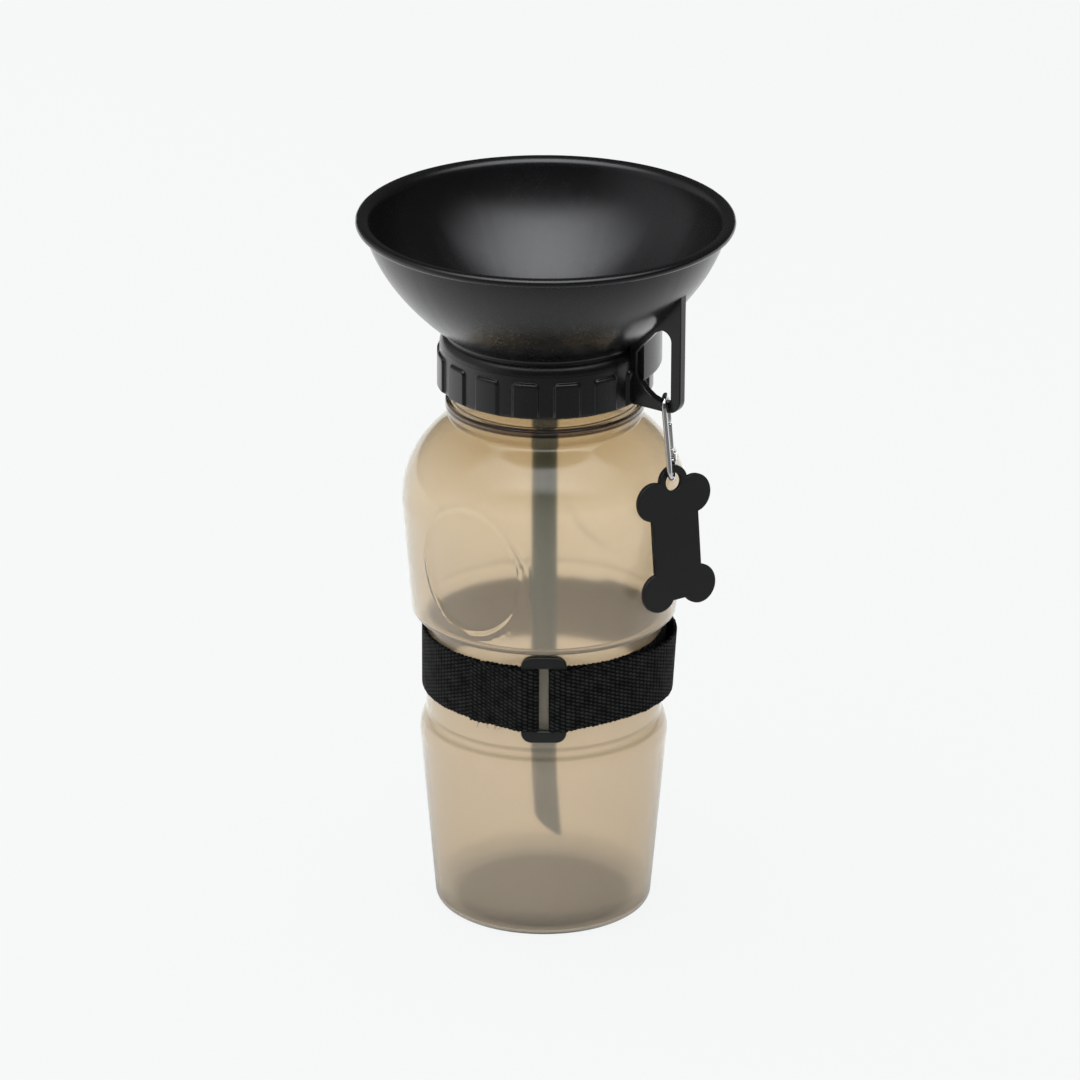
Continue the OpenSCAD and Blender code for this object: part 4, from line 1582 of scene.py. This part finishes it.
@dataclass
class SnapHook:
    """The wire hook and its gate, drawn hanging from the bar in x and z.

    The fork's cheek and the gate's tongue are given by width, height and round.
    """

    wire: float = 0.8
    bend: float = 3.4
    length: float = 20.1
    turn: float = -67.0
    lean: float = 6.2
    hook_x: float = 44.6
    bar_z: float = 176.1
    gate_top: float = 6.6
    gate_len: float = 10.6
    gate_foot: float = 1.85
    fork_swell: float = 0.35
    cheek: tuple[float, float, float] = (2.2, 2.9, 1.05)
    cheek_t: float = 0.68
    cheek_y: float = 0.86
    tongue: tuple[float, float, float] = (1.4, 3.0, 0.65)
    tongue_t: float = 0.8

    @property
    def gate_z(self) -> float:
        """Height of the gate's lower end in the drawing."""
        return -self.gate_top - self.gate_len

    def place(self, shell: Shell) -> Shell:
        """Puts a shell of the hook's drawing on the bracket's bar."""
        matrix = turning("y", -self.lean) @ turning("z", self.turn)
        return shell.placed(matrix, (self.hook_x, 0, self.bar_z))

    def loop(self) -> list[Shell]:
        """The wire, from the gate's latch over the bar and back up to the fork, and the fork's cheeks.

        Returns:
            The wire and the two cheeks.
        """
        b, gate_z = self.bend, self.gate_z
        parts = [
            [(-b, -self.gate_top + 0.25), (-b, -self.gate_top + 1.2)],
            arc((0, 0), b, 180, 0, 36),
            arc((0, -self.length), b, 0, -180, 36),
            [(-b, gate_z - 1.6), (-b, gate_z - 1.15)],
        ]
        flat = dense(np.concatenate(parts), 1.2)
        path = np.stack([flat[:, 0], 0 * flat[:, 0], flat[:, 1]], 1)
        run = lengths(path)
        radius = self.wire + self.fork_swell * ease(run, run[-1] - 2.2, run[-1] - 0.6)
        made = [rod(path, radius * close_at_ends(run, 0.25, 0.3), (0, 1, 0), 24)]
        cheek = plate(round_box(*self.cheek), [], self.cheek_t, 0.2, 3)
        for y in (-self.cheek_y, self.cheek_y):
            made.append(cheek.placed(turning("x", 90), (-b, y, gate_z - 0.2)))
        return [self.place(s) for s in made]

    def gate(self) -> list[Shell]:
        """The gate's rod, with domed ends, and its flat tongue in the fork.

        Returns:
            The rod and the tongue.
        """
        spots, radius = domed(self.gate_len - self.gate_foot, self.wire)
        line = np.stack([0 * spots - self.bend, 0 * spots, self.gate_z + self.gate_foot + spots], 1)
        tongue = plate(round_box(*self.tongue, 6), [], self.tongue_t, 0.12, 2)
        tongue = tongue.placed(turning("x", 90), (-self.bend, 0, self.gate_z + 0.8))
        return [self.place(s) for s in (rod(line, radius, (0, 1, 0), 24), tongue)]

    def build(self, mesher: Mesher) -> None:
        """Makes and dresses the hook's pieces.

        Args:
            mesher: What puts them into the scene.
        """
        mesher.piece("hook_wire", self.loop(), CHROME, "hook", "chrome_wire", ("snap_hook",), 50.0)
        mesher.piece("hook_gate", self.gate(), CHROME, "gate", "chrome_wire", ("snap_gate",), 50.0)
        mesher.dress("gate_pin", STEEL)
        mesher.dress("gate_spring", STEEL)


@dataclass
class BoneTag:
    """The bone-shaped tag that hangs from the hook."""

    thick: float = 1.6
    span: float = 15.2
    drop: float = 29.4
    lobe: float = 6.2
    shaft: float = 17.5
    eye: float = 5.3
    hole: float = 2.9
    eye_drop: float = 5.2
    waist: float = 3.4
    hang: float = 1.15
    turn: float = -22.0
    lean: float = 6.2
    at: tuple[float, float, float] = (47.138, 0.0, 152.737)

    def outline(self) -> Array:
        """The bone's outline: arcs of the eyelet and the lobes between the points where they meet.

        Returns:
            The outline's points, not closed.
        """
        cx, cy, r = self.span / 2, -self.eye_drop, self.lobe
        gap = hypot(cx, cy)
        a = (self.eye**2 - r**2 + gap**2) / (2 * gap)
        h = sqrt(self.eye**2 - a**2)
        ux, uy = cx / gap, cy / gap
        x, y = a * ux - h * uy, a * uy + h * ux
        neck = degrees(np.arcsin((self.shaft / 2 - cx) / r))
        foot = cy - self.drop
        corner = cx - sqrt(r**2 - self.waist**2)
        right = np.concatenate(
            [
                arc((0, 0), self.eye, 90, degrees(atan2(y, x)), 12),
                arc((cx, cy), r, degrees(atan2(y - cy, x - cx)), -90 + neck, 30),
                arc((cx, foot), r, 90 - neck, -180 + degrees(atan2(self.waist, cx - corner)), 34),
                [(corner * 0.5, foot - self.waist)],
            ]
        )
        apart = np.linalg.norm(np.diff(right, axis=0), axis=1) > 1e-3
        right = right[np.concatenate([[True], apart])]
        return np.concatenate([right, right[:0:-1] * (-1, 1)])

    def build(self, mesher: Mesher) -> None:
        """Makes and dresses the tag.

        Args:
            mesher: What puts it into the scene.
        """
        flat = plate(self.outline(), [arc((0, 0), self.hole, 0, 360, 40)[:-1]], self.thick, 0.35, 4)
        hung = flat.placed(turning("z", 90) @ turning("x", 90), (0, 0, -self.hang))
        shell = hung.placed(turning("z", self.turn) @ turning("y", -self.lean), self.at)
        mesher.piece("bone_tag_plate", [shell], TAG_COAT, "tag", "tag_coat", ("bone_tag",), 35.0, True)


@dataclass
class Studio:
    """Floor, lights, surroundings and camera, in metres.

    Each lamp is a name, its degrees to the right of the camera and above the
    floor, its distance from the bottle's middle, its side and its power in watts.
    """

    pale: str = "F6F8F7"
    paper: str = "F0F1F1"
    cloth: str = "F2F4F6"
    distance: float = 2.335
    height: float = 1.0555
    azimuth: float = 33.0
    pitch: float = 21.8
    roll: float = 0.223
    aside: float = 0.0319
    lens: float = 8000 / 1080 * 36
    middle_z: float = 0.12
    box_side: float = 0.95
    box_power: float = 5.2
    lamps: tuple[tuple[str, float, float, float, float, float], ...] = (
        ("top", -100, 82, 1.0, 0.65, 5.0),
        ("left_rim", -132, 8, 1.2, 0.55, 3.0),
        ("right_rim", 122, 4, 1.2, 0.45, 1.0),
        ("front", -30, 40, 1.5, 1.2, 4.5),
    )

    def seen(self, tree: Tree) -> bpy.types.Node:
        """1 for rays that show the surroundings themselves: camera and transmission rays.

        Args:
            tree: The tree that the node is added to.

        Returns:
            The node that gives it.
        """
        rays = add(tree, "LightPath").outputs
        kinds = {0: rays["Is Camera Ray"], 1: rays["Is Transmission Ray"]}
        return add(tree, "Math", kinds, operation="MAXIMUM")

    def paper_sweep(self) -> bpy.types.Material:
        """The floor's material: pale to the eye; in a mirror it glows with painted light, brighter behind
        the bottle and darker in front, with a painted contact shadow round the bottle's foot.

        Returns:
            The finished material.
        """
        material, tree = blank("matt_paper_sweep")
        lit = add(tree, "BsdfDiffuse", {"Color": linear(self.paper)})
        glow = add(tree, "Emission", {"Color": linear(self.pale), "Strength": 1.0})
        share = add(tree, "Math", {0: self.seen(tree), 1: 0.95}, operation="MULTIPLY")
        plain = add(tree, "MixShader", {0: share, 1: lit, 2: glow})
        # The mirrored floor is painted light: an emission brighter behind the bottle and darker in front,
        # times a painted contact shadow round the bottle's foot
        a = radians(self.azimuth)
        place = add(tree, "TexCoord").outputs["Object"]
        aim = (-sin(a) - 0.25 * cos(a), cos(a) - 0.25 * sin(a), 0.0)
        depth = add(tree, "VectorMath", {0: place, 1: aim}, operation="DOT_PRODUCT").outputs["Value"]
        reach = {"From Min": -0.42, "From Max": 0.16, "To Min": 0.24, "To Max": 1.3}
        painted_light_sweep = add(tree, "MapRange", {"Value": depth, **reach})
        # Painted contact shadow: the mirrored floor darkens towards the bottle's foot
        off = add(tree, "VectorMath", {0: place}, operation="LENGTH").outputs["Value"]
        reach = {"From Min": 0.03, "From Max": 0.13, "To Min": 0.5}
        painted_contact_shadow = add(tree, "MapRange", {"Value": off, **reach})
        level = add(tree, "Math", {0: painted_light_sweep, 1: painted_contact_shadow}, operation="MULTIPLY")
        mirrored = add(tree, "Emission", {"Color": linear(self.pale), "Strength": level})
        rays = add(tree, "LightPath").outputs
        ways = {0: rays["Is Glossy Ray"], 1: rays["Is Transmission Ray"]}
        glossy = add(tree, "Math", ways, operation="SUBTRACT", use_clamp=True)
        mix = add(tree, "MixShader", {0: glossy, 1: plain, 2: mirrored})
        add(tree, "OutputMaterial", {"Surface": mix})
        return material

    def floor(self) -> None:
        """A wide pale floor that keeps a faint shadow: a flat grid of 9 by 9 points."""
        x = np.linspace(-6, 6, 9)
        shell = skin(np.stack([*np.meshgrid(x, x), np.zeros((9, 9))], 2))
        mesh = bpy.data.meshes.new("floor")
        mesh.from_pydata(shell.points.tolist(), [], shell.tris.tolist())
        mesh.materials.append(self.paper_sweep())
        made = bpy.data.objects.new("floor", mesh)
        bpy.context.scene.collection.objects.link(made)

    def world(self) -> None:
        """Plain pale surroundings, in which polished things mirror one soft box overhead.

        Where a mirrored ray leaves by (x, y, z), x to the right, y ahead and z up, the
        box lies at x / z and y / z on a plane overhead: it fades as exp(-(x / 0.95 z)^2)
        to the sides, and ends in front at y / z = -1 and behind at 0.
        """
        world = bpy.data.worlds.new("studio")
        world.use_nodes = True
        tree = world.node_tree
        tree.nodes.clear()
        place = add(tree, "TexCoord").outputs["Generated"]
        turned = add(tree, "Mapping", {"Vector": place, "Rotation": (0, 0, -radians(self.azimuth))})
        way = add(tree, "SeparateXYZ", {0: turned}).outputs
        above = add(tree, "Math", {0: way["Z"], 1: 0.03}, operation="MAXIMUM")
        side = add(tree, "Math", {0: way["X"], 1: above}, operation="DIVIDE")
        ahead = add(tree, "Math", {0: way["Y"], 1: above}, operation="DIVIDE")
        square = add(tree, "Math", {0: side, 1: side}, operation="MULTIPLY")
        spread = add(tree, "Math", {0: square, 1: -1 / self.box_side**2}, operation="MULTIPLY")
        wide = add(tree, "Math", {0: spread}, operation="EXPONENT")
        front = add(tree, "MapRange", {"Value": ahead, "From Min": -1.15, "From Max": -0.8})
        rear = add(tree, "MapRange", {"Value": ahead, "From Min": 0.12, "From Max": -0.1})
        deep = add(tree, "Math", {0: front, 1: rear}, operation="MULTIPLY")
        box = add(tree, "Math", {0: deep, 1: wide}, operation="MULTIPLY")
        reach = {"From Min": -0.5, "From Max": -0.9, "To Min": 0.07, "To Max": 0.6}
        fill = add(tree, "MapRange", {"Value": way["X"], **reach})
        cloth = add(tree, "Math", {0: box, 1: self.box_power, 2: fill}, operation="MULTIPLY_ADD")
        glossy = add(tree, "LightPath").outputs["Is Glossy Ray"]
        level = add(tree, "MapRange", {"Value": glossy, "To Min": 0.8, "To Max": cloth})
        dim = add(tree, "Background", {"Color": linear(self.cloth), "Strength": level})
        pale = add(tree, "Background", {"Color": linear(self.pale), "Strength": 1.0})
        mix = add(tree, "MixShader", {0: self.seen(tree), 1: dim, 2: pale})
        add(tree, "OutputWorld", {"Surface": mix})
        bpy.context.scene.world = world

    def put(self, name: str, data: bpy.types.ID, axes: Array) -> bpy.types.Object:
        """Puts a lamp or the camera into the scene.

        Args:
            name: Its name.
            data: The lamp or the camera.
            axes: Its right, its up, its back and its place, one a row.

        Returns:
            The new object.
        """
        whole = np.eye(4)
        whole[:3, :4] = np.stack(axes, 1)
        made = bpy.data.objects.new(name, data)
        made.matrix_world = Matrix(whole.tolist())
        bpy.context.scene.collection.objects.link(made)
        return made

    def lamp(
        self, name: str, azimuth: float, elevation: float, away: float, size: float, power: float
    ) -> None:
        """A square soft lamp that faces the bottle and that nothing mirrors.

        Args:
            name: The lamp's name.
            azimuth: Degrees to the right of the camera.
            elevation: Degrees above the floor.
            away: Its distance from the bottle's middle.
            size: Its side.
            power: Its power in watts.
        """
        data = bpy.data.lights.new(name, "AREA")
        data.size, data.energy = size, power
        a, e = radians(self.azimuth + azimuth), radians(elevation)
        back = np.array([sin(a) * cos(e), -cos(a) * cos(e), sin(e)])
        right = np.array([cos(a), sin(a), 0.0])
        spot = back * away + (0, 0, self.middle_z)
        made = self.put(name, data, [right, np.cross(back, right), back, spot])
        made.visible_glossy = made.visible_transmission = False

    def camera(self) -> None:
        """The camera: its axes are turned by the azimuth and pitch, then by aside and roll."""
        a, e = radians(self.azimuth), radians(self.pitch)
        spot = np.array([self.distance * sin(a), -self.distance * cos(a), self.height])
        right = np.array([cos(a), sin(a), 0.0])
        ahead = np.array([-sin(a), cos(a), 0.0]) * cos(e) - np.array([0, 0, sin(e)])
        s, r = radians(self.aside), radians(self.roll)
        ahead, right = ahead * cos(s) - right * sin(s), right * cos(s) + ahead * sin(s)
        up = np.cross(right, ahead)
        right, up = right * cos(r) + up * sin(r), up * cos(r) - right * sin(r)
        data = bpy.data.cameras.new("camera")
        data.lens, data.sensor_width = self.lens, 36.0
        bpy.context.scene.camera = self.put("camera", data, [right, up, -ahead, spot])

    def build(self) -> None:
        """Sets up the whole studio."""
        bpy.context.scene.view_settings.view_transform = "Standard"
        self.camera()
        self.world()
        self.floor()
        for lamp in self.lamps:
            self.lamp(*lamp)


def main() -> None:
    """Builds the bottle's sub-assemblies in order."""
    logging.basicConfig(level=logging.INFO, format="%(name)s: %(message)s")
    Studio().build()
    mesher = Mesher()
    for part in (Bottle(), BowlCap(), WaterWay(), Strap(), SnapHook(), BoneTag()):
        part.build(mesher)
        log.info("%s done", type(part).__name__)
    bpy.context.view_layer.update()


if __name__ == "__main__":
    main()
